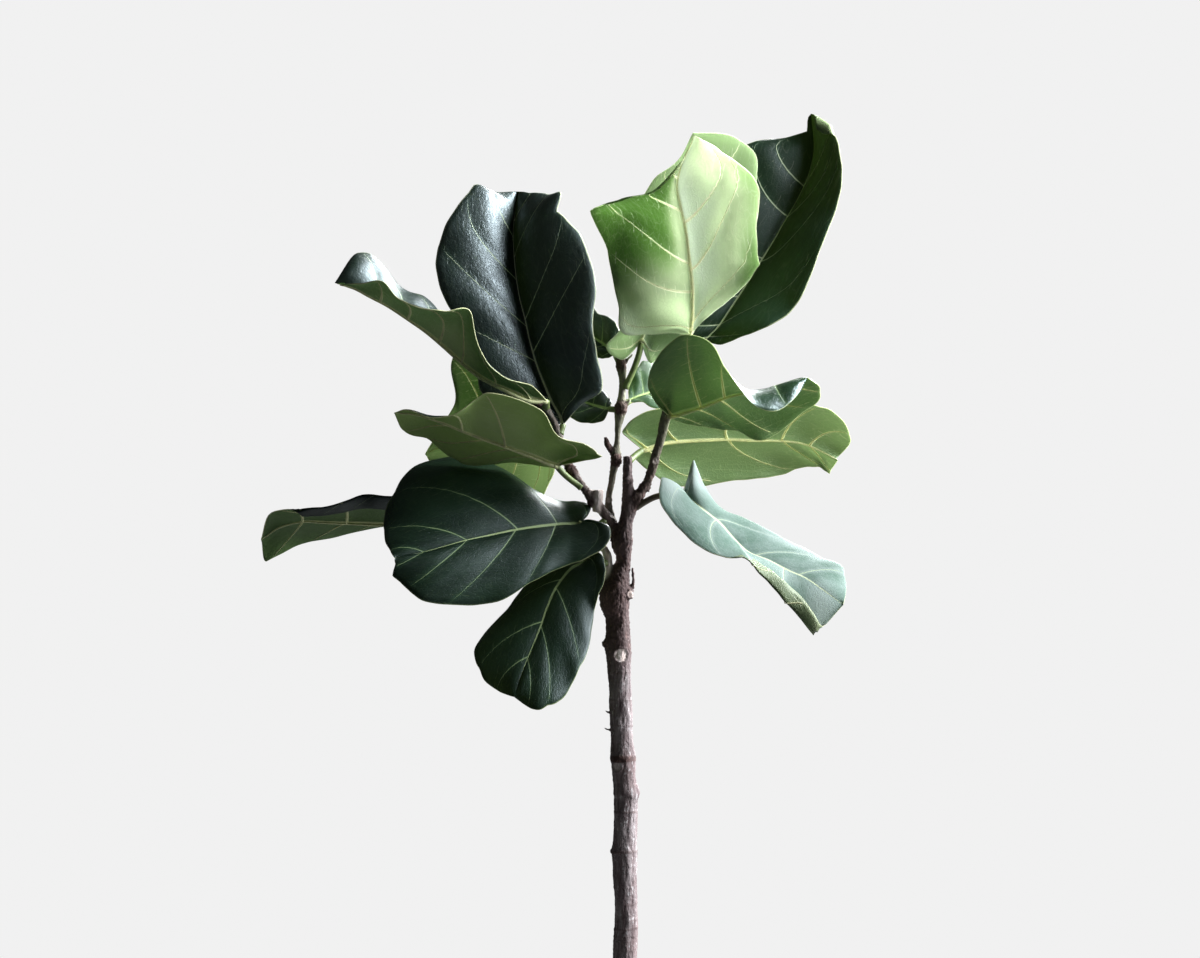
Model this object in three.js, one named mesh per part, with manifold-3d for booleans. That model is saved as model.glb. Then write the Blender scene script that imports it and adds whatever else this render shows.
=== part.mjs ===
// Potted fiddle leaf fig: a pruned trunk with two stems and two side branches, sixteen leaves, a plain planter.
// Millimetres, +Z up, origin at the centre of the planter's flat underside.
// The crown is set out as it is seen from the front: a place is [across, down, depth], in millimetres on a sheet
// that stands upright through the trunk, with depth counted away from the eye. seen() turns it into a point.
import * as THREE from "three";
import Module from "manifold-3d";

const wasm = await Module();
wasm.setup();

// ---- driving dimensions ----
const VIEW_DISTANCE = 2600; // eye to trunk
const VIEW_CENTRE = [600, 479]; // sheet coordinates straight ahead of the eye
const VIEW_SIDE = -25; // X of the eye
const VIEW_HEIGHT = 889; // Z of the eye

const POT_HEIGHT = 262;
const POT_FOOT_RADIUS = 96;
const POT_TOP_RADIUS = 142;
const POT_WALL = 8;
const POT_FLOOR = 12;
const POT_EDGE = 3; // rounding of the rim and of the foot
const POT_SIDES = 40;
const SOIL_BELOW_RIM = 28;
const SOIL_MOUND = 9; // rise of the soil at the trunk
const MOUND_RADIUS = 22;
const SHOULDER_SHARE = 0.55; // where the soil starts to rise, as a part of its radius
const SHOULDER_RISE = 0.4; // how much of the rise is reached there
const TRUNK_IN_SOIL = 95; // depth of the trunk below the soil's surface
const TRUNK_ROOT_RADIUS = 14;
const TRUNK_FOOT_RADIUS = 13; // just above the soil
const FOOT_HEIGHT = 20; // upright length of the trunk above the soil
const CLEARANCE = 0.3; // gap between touching pieces

const BLADE_THICKNESS = 1.2;
const BLADE_CAMBER = 0.1; // rise of a half blade between midrib and margin, as a part of its width
const HALF_BLADE_STEPS = 3;
const RIPPLE = 2.5; // wave of the margin
const RIPPLE_STEP = 2.1; // phase of the wave from one row to the next
const PETIOLE_RADIUS = 3.2;
const RIB_END_RADIUS = 1.3; // where the petiole runs out under the blade
const RIB_ROWS = 5; // rows of the blade that the petiole runs under
const PETIOLE_SIDES = 6;
const WOOD_SIDES = 10;
const KNOB_RINGS = 6;

// ---- places ----
function seen([across, down, depth]) {
  const spread = (VIEW_DISTANCE + depth) / VIEW_DISTANCE;
  const x = (across - VIEW_CENTRE[0]) * spread + VIEW_SIDE;
  const z = (VIEW_CENTRE[1] - down) * spread + VIEW_HEIGHT;
  return new THREE.Vector3(x, depth, z);
}

// ---- solids ----
function solid(positions, triangles) {
  const mesh = new wasm.Mesh({
    numProp: 3,
    vertProperties: new Float32Array(positions),
    triVerts: new Uint32Array(triangles),
  });
  mesh.merge();
  return new wasm.Manifold(mesh);
}

function geometrySolid(geometry) {
  const positions = [];
  const triangles = [];
  const known = new Map();
  const place = geometry.getAttribute("position");
  const order = geometry.index ? Array.from(geometry.index.array) : [...Array(place.count).keys()];
  const vertex = order.map((i) => {
    const p = [place.getX(i), place.getY(i), place.getZ(i)];
    const key = p.map((value) => value.toFixed(3)).join();
    if (!known.has(key)) {
      known.set(key, positions.length / 3);
      positions.push(...p);
    }
    return known.get(key);
  });
  for (let i = 0; i < vertex.length; i += 3) {
    const [a, b, c] = vertex.slice(i, i + 3);
    if (a !== b && b !== c && a !== c) triangles.push(a, b, c);
  }
  return solid(positions, triangles);
}

function solidGeometry(body) {
  const mesh = body.getMesh();
  const geometry = new THREE.BufferGeometry();
  const places = [];
  for (let i = 0; i < mesh.numVert; i += 1) {
    places.push(...mesh.vertProperties.slice(i * mesh.numProp, i * mesh.numProp + 3));
  }
  geometry.setAttribute("position", new THREE.Float32BufferAttribute(places, 3));
  geometry.setIndex(Array.from(mesh.triVerts));
  geometry.computeVertexNormals();
  return geometry;
}

// A round tube through the points, with a radius at each of them and closed ends.
function tube(points, radii, sides) {
  const positions = [];
  const triangles = [];
  let side = new THREE.Vector3(0, 1, 0);
  points.forEach((point, i) => {
    const ahead = points[Math.min(i + 1, points.length - 1)];
    const behind = points[Math.max(i - 1, 0)];
    const along = ahead.clone().sub(behind).normalize();
    side = side.clone().addScaledVector(along, -side.dot(along)).normalize();
    const other = along.clone().cross(side);
    for (let s = 0; s < sides; s += 1) {
      const angle = (2 * Math.PI * s) / sides;
      const p = point.clone();
      p.addScaledVector(side, radii[i] * Math.cos(angle));
      p.addScaledVector(other, radii[i] * Math.sin(angle));
      positions.push(p.x, p.y, p.z);
    }
  });
  const last = (points.length - 1) * sides;
  for (let s = 0; s < sides; s += 1) {
    const next = (s + 1) % sides;
    for (let ring = 0; ring < last; ring += sides) {
      triangles.push(ring + s, ring + next, ring + sides + next);
      triangles.push(ring + s, ring + sides + next, ring + sides + s);
    }
    if (s > 0 && s < sides - 1) {
      triangles.push(0, next, s);
      triangles.push(last, last + s, last + next);
    }
  }
  return solid(positions, triangles);
}

function knob(place, radius) {
  const geometry = new THREE.SphereGeometry(radius, WOOD_SIDES, KNOB_RINGS);
  const centre = seen(place);
  geometry.translate(centre.x, centre.y, centre.z);
  return geometrySolid(geometry);
}

// ---- wood: each stem is a list of [across, down, depth, radius] from its foot to its end ----
const SOIL_TOP = POT_HEIGHT - SOIL_BELOW_RIM;
const STEMS = {
  trunk: [
    [625, 958, 0, 12.2], [626, 930, 0, 12], [625.8, 900, 0, 11.4], [625, 875, 0, 11.8], [624.5, 851, 0, 13],
    [625, 840, 0, 12], [626, 800, 0, 12], [626.5, 793, 0, 13.2], [624.5, 780, 0, 11.5], [623, 757, 0, 12.6],
    [622, 740, 0, 11], [620.5, 700, 0, 11.5], [619.2, 670, 0, 11.6], [618, 645, 0, 13.2], [617.4, 620, 0, 11.6],
    [615, 604, 0, 14.6], [615.4, 590, 0, 15.2], [619, 575, 0, 11], [623.7, 560, 0, 7.2],
    [622, 542, 0, 10.5], [626, 522, 0, 6.8], [629, 505, 0, 7.6], [627.5, 480, 0, 5.2], [627.5, 456, 0, 4.8],
  ],
  stub: [[609, 596, -2, 7], [608, 575, -3, 5], [607.5, 556, -4, 4.4], [604.5, 549, -4, 3.2]],
  centre_stem: [
    [619, 542, 3, 6], [611, 522, 4, 5.6], [608.5, 503, 5, 3.6], [611, 485, 6, 3.4], [614, 468, 7, 4],
    [616, 460, 7.5, 5.2], [617, 445, 8, 3.2], [618, 428, 9, 3.4], [620.5, 410, 10, 6.2], [621.5, 398, 10, 4],
    [622.5, 380, 10, 3.6], [621, 366, 10, 5.4], [618, 356, 10, 2.4],
  ],
  centre_spur: [[620, 464, 8, 3.4], [613, 453, 8, 3.2], [608, 445, 8, 3.2], [605, 437, 8, 2.2]],
  left_branch: [
    [612, 524, 0, 5.4], [603, 512, -3, 4.8], [594, 500, -5, 5.4], [583, 487, -8, 4.2], [573, 473, -8, 5],
    [564, 456, -6, 3.6], [559, 436, -3, 4], [553, 420, 0, 3.6], [544, 408, 2, 4.6], [535, 404, 2, 2.6],
  ],
  right_branch: [
    [628, 512, 0, 6.5], [637, 499, -1, 6], [646, 484, -4, 4.4], [652, 469, -8, 4.8], [656, 454, -11, 4.4],
    [661, 438, -15, 4.6], [664, 424, -18, 5], [668, 411, -21, 5.4], [672, 398, -22, 2.6],
  ],
};
// Swellings where leaves and branches have been: place and radius.
const KNOBS = [
  [[606, 586, -2], 7], [[628, 594, -4], 5], [[621, 655, -4], 8.6], [[597, 496, -5], 6],
];

// Centre points and radii of a stem that is extra thicker all round.
function stem(rows, extra) {
  const curve = new THREE.CatmullRomCurve3(rows.map(seen), false, "catmullrom", 0.5);
  const points = rows.map((row, i) => curve.getPoint(i / (rows.length - 1)));
  const radii = rows.map((row) => row[3] + extra);
  return [points, radii];
}

function woodSolid(extra) {
  let body = null;
  Object.entries(STEMS).forEach(([name, rows]) => {
    const [points, radii] = stem(rows, extra);
    if (name === "trunk") {
      const root = SOIL_TOP - TRUNK_IN_SOIL - extra;
      points.unshift(new THREE.Vector3(0, 0, root), new THREE.Vector3(0, 0, SOIL_TOP + FOOT_HEIGHT));
      radii.unshift(TRUNK_ROOT_RADIUS + extra, TRUNK_FOOT_RADIUS + extra);
    }
    const piece = tube(points, radii, WOOD_SIDES);
    body = body ? body.add(piece) : piece;
  });
  KNOBS.forEach(([place, radius]) => {
    body = body.add(knob(place, radius + extra));
  });
  return body;
}

// ---- leaves ----
// Each rail runs from the base of the blade to its tip: the margin on the left hand of someone who walks from base
// to tip in the front view, the midrib, and the margin on the right hand. Rows follow the side veins.
// face is -1 where the front view looks on the upper side, 1 where it looks on the underside.
const LEAVES = {
  leaf_a: {
    face: -1,
    petiole: [[547, 401, -12], [546, 407, -2]],
    left: [
      [531, 386, -36], [508, 379, -60], [488, 364, -80], [476, 338, -94], [468, 310, -104], [446, 311, -110],
      [420, 308, -112], [398, 298, -108], [381, 281, -100], [361, 284, -92],
    ],
    mid: [
      [527, 398, -24], [503, 387, -36], [480, 375, -46], [462, 361, -54], [445, 346, -60], [427, 331, -66],
      [408, 318, -71], [388, 305, -76], [370, 296, -80], [354, 288, -83],
    ],
    right: [
      [538, 392, -4], [520, 385, -2], [498, 377, -2], [476, 356, -5], [458, 332, -10], [440, 312, -20],
      [424, 297, -28], [400, 287, -36], [380, 262, -46], [357, 253, -64],
    ],
    tip: [335, 283, -84],
  },
  leaf_b: {
    face: -1,
    petiole: [[563, 425, 0], [560, 434, -2]],
    left: [
      [540, 418, 6], [508, 408, 8], [483, 394, 9], [474, 364, 14], [462, 328, 24], [445, 299, 34],
      [437, 268, 44], [439, 243, 56], [453, 214, 70], [476, 187, 86], [496, 192, 104],
    ],
    mid: [
      [560, 416, 6], [553, 404, 13], [546, 388, 21], [538, 368, 31], [531, 345, 42], [526, 322, 54],
      [520, 298, 67], [516, 272, 80], [514, 247, 93], [514, 225, 104], [516, 207, 113],
    ],
    right: [
      [582, 404, -2], [601, 389, -4], [597, 356, 0], [593, 322, 10], [595, 288, 22], [590, 259, 34],
      [580, 236, 45], [564, 216, 58], [560, 196, 74], [548, 194, 90], [533, 193, 106],
    ],
    tip: [518, 192, 118],
  },
  leaf_c: {
    face: 1,
    petiole: [[690, 338, -42], [686, 352, -29], [678, 377, -24], [672, 400, -24]],
    left: [
      [674, 333, -44], [648, 334, -46], [621, 332, -48], [617, 297, -52], [607, 250, -54], [594, 212, -56],
      [622, 199, -76], [655, 189, -92], [682, 160, -106],
    ],
    mid: [
      [691, 327, -44], [692, 317, -47], [692, 303, -52], [692, 285, -59], [689, 258, -70], [686, 232, -81],
      [681, 208, -91], [677, 185, -99], [683, 160, -107],
    ],
    right: [
      [698, 326, -43], [712, 313, -43], [732, 297, -44], [750, 278, -48], [757, 258, -54], [757, 228, -64],
      [759, 193, -78], [748, 172, -90], [722, 152, -102],
    ],
    tip: [695, 135, -112],
  },
  leaf_d: {
    face: -1,
    petiole: [[704, 341, 22], [692, 360, 17], [680, 385, 5], [669, 409, -14]],
    left: [
      [690, 350, 20], [666, 350, 18], [647, 339, 22], [652, 305, 36], [661, 270, 52], [676, 230, 66],
      [692, 195, 80], [711, 169, 90], [733, 154, 98], [757, 141, 106], [790, 136, 113],
    ],
    mid: [
      [710, 335, 25], [718, 327, 30], [730, 310, 38], [745, 287, 50], [760, 263, 63], [774, 241, 75],
      [786, 220, 86], [796, 203, 95], [805, 185, 103], [811, 168, 110], [814, 148, 115],
    ],
    right: [
      [720, 344, 14], [738, 338, 8], [760, 330, 4], [786, 315, 4], [803, 292, 10], [820, 251, 24],
      [834, 215, 40], [841, 184, 56], [841, 160, 72], [836, 138, 88], [828, 122, 104],
    ],
    tip: [811, 114, 118],
  },
  leaf_e: {
    face: 1,
    petiole: [[557, 466, -22], [563, 473, -17], [571, 480, -13], [581, 487, -9]],
    left: [
      [556, 468, -15], [550, 467, -11], [540, 466, -8], [528, 464, -6], [510, 462, -6], [488, 465, -8],
      [466, 464, -12], [448, 455, -18], [426, 439, -28], [404, 431, -46],
    ],
    mid: [
      [555, 464, -23], [551, 463, -25], [545, 461, -27], [536, 457, -31], [522, 452, -37], [505, 446, -43],
      [485, 439, -50], [462, 430, -58], [440, 421, -64], [415, 414, -69],
    ],
    right: [
      [582, 461, -26], [597, 457, -34], [586, 445, -48], [558, 436, -66], [540, 410, -80], [492, 393, -92],
      [476, 400, -93], [457, 413, -89], [432, 418, -81], [408, 410, -76],
    ],
    tip: [394, 413, -72],
  },
  leaf_f: {
    face: -1,
    petiole: [[580, 523, -16], [592, 528, -10], [605, 521, -3]],
    left: [
      [594, 521, -20], [609, 528, -28], [605, 546, -38], [583, 560, -50], [556, 569, -62], [530, 583, -74],
      [503, 599, -88], [468, 605, -100], [434, 603, -109], [411, 592, -113], [395, 574, -109],
    ],
    mid: [
      [579, 523, -17], [578, 524, -18], [575, 524, -19], [570, 524, -21], [563, 524, -24], [553, 525, -29],
      [536, 527, -38], [516, 530, -48], [492, 535, -60], [464, 541, -74], [428, 551, -90],
    ],
    right: [
      [585, 515, -12], [590, 507, -6], [578, 501, 1], [556, 500, 6], [530, 488, 10], [500, 467, 11],
      [460, 457, 6], [415, 467, -12], [394, 492, -36], [384, 523, -64], [387, 544, -86],
    ],
    tip: [395, 558, -102],
  },
  leaf_g: {
    face: -1,
    petiole: [[585, 561, -20], [595, 563, -13], [606, 563, -5]],
    left: [
      [596, 552, -22], [603, 560, -27], [604, 579, -36], [597, 600, -46], [592, 625, -58], [587, 652, -72],
      [577, 673, -86], [563, 697, -98], [548, 706, -104], [531, 708, -106],
    ],
    mid: [
      [584, 562, -21], [582, 563, -22], [578, 565, -24], [572, 568, -28], [565, 575, -33], [556, 588, -41],
      [548, 606, -52], [541, 626, -65], [533, 646, -77], [524, 668, -90],
    ],
    right: [
      [578, 556, -17], [568, 556, -15], [553, 562, -14], [538, 573, -16], [523, 589, -22], [508, 608, -32],
      [489, 629, -48], [475, 651, -65], [480, 671, -80], [495, 689, -93],
    ],
    tip: [514, 697, -103],
  },
  leaf_h: {
    face: 1,
    petiole: [[478, 526, 62], [512, 530, 50], [552, 534, 34], [586, 530, 18], [610, 523, 4]],
    left: [
      [484, 529, 68], [484, 531, 80], [472, 530, 94], [450, 528, 108], [420, 526, 121], [388, 526, 132],
      [360, 531, 140], [330, 538, 143], [298, 545, 138], [267, 559, 124],
    ],
    mid: [
      [474, 526, 63], [468, 525, 65], [460, 525, 68], [448, 525, 71], [430, 524, 77], [384, 524, 88],
      [358, 523, 94], [330, 522, 100], [303, 521, 106], [279, 527, 110],
    ],
    right: [
      [488, 521, 56], [490, 512, 46], [478, 504, 36], [455, 500, 28], [425, 497, 25], [385, 496, 28],
      [362, 495, 37], [334, 505, 47], [304, 509, 60], [271, 513, 84],
    ],
    tip: [261, 540, 112],
  },
  leaf_i: {
    face: 1,
    petiole: [[669, 416, -30], [667, 418, -21]],
    left: [
      [657, 404, -38], [648, 383, -50], [656, 360, -62], [682, 335, -76], [710, 343, -84], [724, 366, -87],
      [739, 388, -87], [757, 407, -82], [779, 410, -72], [796, 396, -59],
    ],
    mid: [
      [675, 415, -31], [684, 412, -33], [694, 409, -35], [706, 405, -38], [718, 400, -41], [729, 396, -43],
      [741, 393, -45], [756, 391, -46], [775, 385, -46], [793, 380, -46],
    ],
    right: [
      [676, 420, -24], [690, 424, -16], [705, 427, -10], [721, 429, -6], [738, 431, -4], [757, 440, -3],
      [776, 434, -4], [797, 416, -8], [816, 403, -16], [820, 388, -30],
    ],
    tip: [808, 378, -46],
  },
  leaf_j: {
    face: -1,
    petiole: [[683, 492, -14], [670, 495, -10], [655, 497, -6], [636, 507, 0]],
    left: [
      [688, 477, -8], [694, 464, -3], [704, 485, -2], [721, 508, -4], [743, 518, -8], [766, 529, -13],
      [787, 540, -18], [805, 549, -24], [823, 558, -30], [842, 567, -38], [846, 586, -52],
    ],
    mid: [
      [688, 497, -17], [693, 502, -20], [701, 508, -24], [710, 515, -28], [720, 523, -33], [733, 538, -40],
      [748, 552, -46], [768, 560, -51], [788, 570, -57], [806, 578, -61], [822, 589, -64],
    ],
    right: [
      [677, 484, -24], [664, 480, -36], [660, 500, -48], [673, 522, -60], [695, 543, -69], [722, 557, -74],
      [746, 559, -78], [760, 575, -80], [777, 593, -80], [793, 611, -79], [814, 632, -76],
    ],
    tip: [843, 605, -66],
  },
  leaf_k: {
    face: 1,
    petiole: [[643, 450, 18], [637, 454, 13], [629, 461, 4]],
    left: [
      [631, 440, 12], [623, 430, 8], [640, 415, 8], [670, 407, 13], [710, 404, 21], [750, 404, 31],
      [785, 405, 43], [815, 405, 56], [835, 414, 67], [850, 436, 79],
    ],
    mid: [
      [652, 447, 22], [664, 443, 28], [682, 441, 36], [703, 440, 44], [727, 439, 54], [750, 440, 62],
      [772, 440, 69], [790, 441, 75], [806, 444, 80], [822, 451, 85],
    ],
    right: [
      [636, 458, 26], [650, 470, 38], [672, 484, 52], [702, 486, 66], [730, 481, 78], [757, 478, 88],
      [783, 474, 96], [803, 467, 100], [818, 467, 100], [829, 471, 98],
    ],
    tip: [838, 460, 88],
  },
  leaf_l: {
    face: 1,
    petiole: [[641, 342, 0], [639, 354, 2], [633, 371, 5], [625, 388, 9]],
    left: [
      [623, 359, 0], [606, 347, -3], [622, 326, -6], [623, 285, -6], [625, 248, -6], [635, 214, -5],
      [655, 179, -4], [679, 159, -6],
    ],
    mid: [
      [643, 336, -2], [647, 325, -4], [654, 303, -7], [662, 275, -10], [671, 243, -12], [679, 211, -13],
      [686, 181, -14], [691, 154, -14],
    ],
    right: [
      [650, 362, 0], [663, 352, -2], [692, 325, -4], [722, 288, -4], [744, 246, -4], [754, 200, -4],
      [756, 158, -6], [732, 136, -9],
    ],
    tip: [693, 133, -13],
  },
  leaf_m: {
    face: -1,
    petiole: [[629, 401, 14], [621, 408, 11]],
    left: [
      [629, 392, 20], [631, 381, 32], [636, 370, 52], [643, 362, 78], [657, 362, 108], [670, 356, 138],
      [684, 350, 164], [698, 347, 184],
    ],
    mid: [
      [636, 398, 20], [644, 395, 30], [655, 391, 46], [668, 386, 68], [681, 380, 94], [692, 374, 122],
      [701, 367, 148], [708, 360, 172],
    ],
    right: [
      [634, 402, 14], [642, 402, 20], [655, 408, 28], [674, 408, 44], [692, 404, 68], [706, 398, 98],
      [716, 386, 130], [720, 370, 164],
    ],
    tip: [713, 352, 192],
  },
  leaf_n: {
    face: -1,
    petiole: [[609, 409, 12], [620, 410, 10]],
    left: [
      [603, 420, 11], [588, 423, 15], [572, 418, 26], [556, 406, 52], [538, 396, 78], [522, 385, 108],
      [512, 373, 138], [508, 362, 168],
    ],
    mid: [
      [603, 408, 18], [595, 406, 30], [585, 403, 48], [573, 398, 72], [560, 392, 98], [547, 385, 124],
      [535, 377, 150], [524, 368, 174],
    ],
    right: [
      [611, 403, 18], [609, 398, 30], [602, 391, 52], [598, 384, 80], [594, 374, 112], [586, 364, 142],
      [572, 356, 168], [548, 350, 188],
    ],
    tip: [515, 357, 194],
  },
  leaf_o: {
    face: -1,
    petiole: [[615, 354, 14], [621, 366, 10]],
    left: [
      [609, 357, 16], [599, 358, 20], [584, 354, 34], [562, 345, 56], [540, 330, 82], [522, 313, 108],
      [512, 294, 132], [513, 273, 154],
    ],
    mid: [
      [611, 350, 20], [604, 345, 30], [594, 338, 46], [582, 328, 68], [570, 316, 92], [558, 302, 116],
      [547, 287, 138], [537, 271, 158],
    ],
    right: [
      [618, 343, 20], [618, 328, 30], [610, 319, 46], [595, 310, 70], [588, 296, 98], [583, 280, 126],
      [575, 264, 150], [556, 252, 168],
    ],
    tip: [529, 254, 175],
  },
  leaf_p: {
    face: 1,
    petiole: [[557, 437, 14], [560, 441, -2]],
    left: [
      [560, 447, 20], [556, 464, 28], [550, 481, 38], [541, 497, 50], [520, 503, 64], [498, 500, 78],
      [476, 492, 92], [456, 482, 104], [440, 472, 114], [430, 460, 120],
    ],
    mid: [
      [552, 436, 20], [546, 436, 27], [538, 435, 36], [527, 434, 48], [513, 433, 62], [498, 434, 76],
      [482, 436, 90], [466, 439, 100], [452, 443, 109], [438, 448, 116],
    ],
    right: [
      [556, 428, 20], [548, 420, 26], [534, 407, 34], [515, 391, 42], [496, 374, 48], [477, 359, 54],
      [459, 349, 60], [451, 366, 72], [456, 398, 90], [447, 418, 104],
    ],
    tip: [425, 454, 122],
  },
};

// The middle surface of a blade: rows of points from margin to margin, one row to each step of the rails.
function bladeRows(leaf) {
  const count = leaf.mid.length;
  return leaf.mid.map((place, i) => {
    const mid = seen(place);
    const ahead = seen(i + 1 < count ? leaf.mid[i + 1] : leaf.tip);
    const behind = seen(i > 0 ? leaf.mid[i - 1] : leaf.petiole[0]);
    const along = ahead.sub(behind);
    const row = [];
    for (let step = -HALF_BLADE_STEPS; step <= HALF_BLADE_STEPS; step += 1) {
      const reach = Math.abs(step) / HALF_BLADE_STEPS;
      const edge = seen(step < 0 ? leaf.left[i] : leaf.right[i]);
      const across = step < 0 ? mid.clone().sub(edge) : edge.clone().sub(mid);
      const upward = along.clone().cross(across).normalize().multiplyScalar(leaf.face);
      const width = across.length();
      const point = mid.clone().lerp(edge, reach);
      point.addScaledVector(upward, BLADE_CAMBER * width * 4 * reach * (1 - reach));
      point.y += RIPPLE * reach * reach * Math.sin(RIPPLE_STEP * i + (step < 0 ? 0 : 1));
      row.push(point);
    }
    return row;
  });
}

// Triangles from the base of the blade, point 0, over its rows to its tip; at() gives a point's number.
function bladeTriangles(count, wide, at) {
  const tip = at(count, 0);
  const triangles = [];
  for (let column = 0; column < wide - 1; column += 1) {
    triangles.push(0, at(0, column), at(0, column + 1));
    for (let row = 0; row < count - 1; row += 1) {
      triangles.push(at(row, column), at(row + 1, column), at(row + 1, column + 1));
      triangles.push(at(row, column), at(row + 1, column + 1), at(row, column + 1));
    }
    triangles.push(at(count - 1, column), tip, at(count - 1, column + 1));
  }
  return triangles;
}

function sheetNormals(points, triangles) {
  const sheet = new THREE.BufferGeometry();
  sheet.setAttribute("position", new THREE.Float32BufferAttribute(points.flatMap((p) => p.toArray()), 3));
  sheet.setIndex(triangles);
  sheet.computeVertexNormals();
  return points.map((p, i) => new THREE.Vector3().fromBufferAttribute(sheet.getAttribute("normal"), i));
}

// Both faces of a blade are the same triangles, half the thickness to either side of its middle surface.
function bladeSolid(leaf) {
  const rows = bladeRows(leaf);
  const wide = 2 * HALF_BLADE_STEPS + 1;
  const at = (row, column) => 1 + row * wide + column;
  const points = [seen(leaf.petiole[0]), ...rows.flat(), seen(leaf.tip)];
  const surface = bladeTriangles(rows.length, wide, at);
  const normals = sheetNormals(points, surface);
  const face = (side) =>
    points.flatMap((p, i) => p.clone().addScaledVector(normals[i], (side * BLADE_THICKNESS) / 2).toArray());
  const triangles = [...surface];
  const below = points.length;
  for (let i = 0; i < surface.length; i += 3) {
    triangles.push(surface[i] + below, surface[i + 2] + below, surface[i + 1] + below);
  }
  const leftRim = rows.map((row, i) => at(i, 0));
  const rightRim = rows.map((row, i) => at(i, wide - 1));
  const rim = [0, ...leftRim, points.length - 1, ...rightRim.reverse()];
  rim.forEach((from, i) => {
    const to = rim[(i + 1) % rim.length];
    triangles.push(from, from + below, to + below);
    triangles.push(from, to + below, to);
  });
  return solid([...face(1), ...face(-1)], triangles);
}

// The petiole runs from the wood to the base of the blade and on under the midrib, where it thins out.
function petioleSolid(leaf) {
  const under = leaf.mid.slice(0, RIB_ROWS);
  const places = [...leaf.petiole.slice().reverse(), ...under].map(seen);
  const base = leaf.petiole.length - 1;
  const radii = places.map((place, i) => {
    const out = Math.max(i - base, 0) / RIB_ROWS;
    return PETIOLE_RADIUS + (RIB_END_RADIUS - PETIOLE_RADIUS) * out;
  });
  return tube(places, radii, PETIOLE_SIDES);
}

function leafSolid(leaf, keepOut) {
  return bladeSolid(leaf).add(petioleSolid(leaf)).subtract(keepOut);
}

// ---- planter and soil ----
function lathe(profile) {
  const geometry = new THREE.LatheGeometry(profile.map(([r, z]) => new THREE.Vector2(r, z)), POT_SIDES);
  geometry.rotateX(Math.PI / 2);
  return geometrySolid(geometry);
}

function wallRadius(height) {
  return POT_FOOT_RADIUS + ((POT_TOP_RADIUS - POT_FOOT_RADIUS) * height) / POT_HEIGHT;
}

function potSolid() {
  const inside = (height) => wallRadius(height) - POT_WALL;
  return lathe([
    [0, 0],
    [POT_FOOT_RADIUS - POT_EDGE, 0],
    [wallRadius(POT_EDGE), POT_EDGE],
    [wallRadius(POT_HEIGHT - POT_EDGE), POT_HEIGHT - POT_EDGE],
    [wallRadius(POT_HEIGHT) - POT_EDGE / 2, POT_HEIGHT],
    [inside(POT_HEIGHT) + POT_EDGE / 2, POT_HEIGHT],
    [inside(POT_HEIGHT - POT_EDGE), POT_HEIGHT - POT_EDGE],
    [inside(POT_FLOOR), POT_FLOOR],
    [0, POT_FLOOR],
  ]);
}

function soilSolid(keepOut) {
  const side = (height) => wallRadius(height) - POT_WALL - 2 * CLEARANCE;
  const foot = POT_FLOOR + CLEARANCE;
  return lathe([
    [0, foot],
    [side(foot), foot],
    [side(SOIL_TOP), SOIL_TOP],
    [side(SOIL_TOP) * SHOULDER_SHARE, SOIL_TOP + SOIL_MOUND * SHOULDER_RISE],
    [MOUND_RADIUS, SOIL_TOP + SOIL_MOUND],
    [0, SOIL_TOP + SOIL_MOUND],
  ]).subtract(keepOut);
}

// ---- the plant ----
const MATERIALS = {
  pot: { color: 0xd9d6d0, roughness: 0.7 },
  soil: { color: 0x33261e, roughness: 1 },
  wood: { color: 0x8d7a76, roughness: 0.85 },
  dark: { color: 0x1d3526, roughness: 0.35 },
  light: { color: 0x6f9650, roughness: 0.6 },
};
const plant = new THREE.Group();

function put(name, body, look) {
  const mesh = new THREE.Mesh(
    solidGeometry(body),
    new THREE.MeshStandardMaterial({ ...MATERIALS[look], metalness: 0 }),
  );
  mesh.name = name;
  plant.add(mesh);
}

const keepOut = woodSolid(CLEARANCE);
put("pot", potSolid(), "pot");
put("soil", soilSolid(keepOut), "soil");
put("wood", woodSolid(0), "wood");
Object.entries(LEAVES).forEach(([name, leaf]) => {
  put(name, leafSolid(leaf, keepOut), leaf.face < 0 ? "dark" : "light");
});

export default plant;
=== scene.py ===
"""Potted fiddle leaf fig: leaves with their veins, bark, soil and a plain planter, in metres.

The crown is set out as it is seen from the front: a place is [across, down, depth], in millimetres on an
upright sheet through the trunk, with depth counted away from the eye.
"""

import math
import random

import bpy
import bmesh
import numpy as np
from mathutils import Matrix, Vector, noise


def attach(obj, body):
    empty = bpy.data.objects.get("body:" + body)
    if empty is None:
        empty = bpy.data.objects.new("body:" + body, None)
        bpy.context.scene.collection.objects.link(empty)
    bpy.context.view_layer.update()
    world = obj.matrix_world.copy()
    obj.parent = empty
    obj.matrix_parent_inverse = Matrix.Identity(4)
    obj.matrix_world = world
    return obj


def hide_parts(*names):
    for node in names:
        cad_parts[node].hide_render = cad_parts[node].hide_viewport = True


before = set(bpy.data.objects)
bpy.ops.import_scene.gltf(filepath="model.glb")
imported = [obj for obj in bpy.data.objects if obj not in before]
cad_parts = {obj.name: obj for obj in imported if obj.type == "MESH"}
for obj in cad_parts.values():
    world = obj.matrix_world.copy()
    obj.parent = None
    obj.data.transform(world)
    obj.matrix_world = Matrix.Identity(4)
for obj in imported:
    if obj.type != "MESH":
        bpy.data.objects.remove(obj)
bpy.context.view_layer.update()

# ---- the view that the crown is set out in, in millimetres ----
MM = 0.001
VIEW_DISTANCE = 2600
VIEW_CENTRE = (600, 479)
VIEW_WIDTH = 1200
VIEW_SIDE = -25
VIEW_HEIGHT = 889
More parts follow.
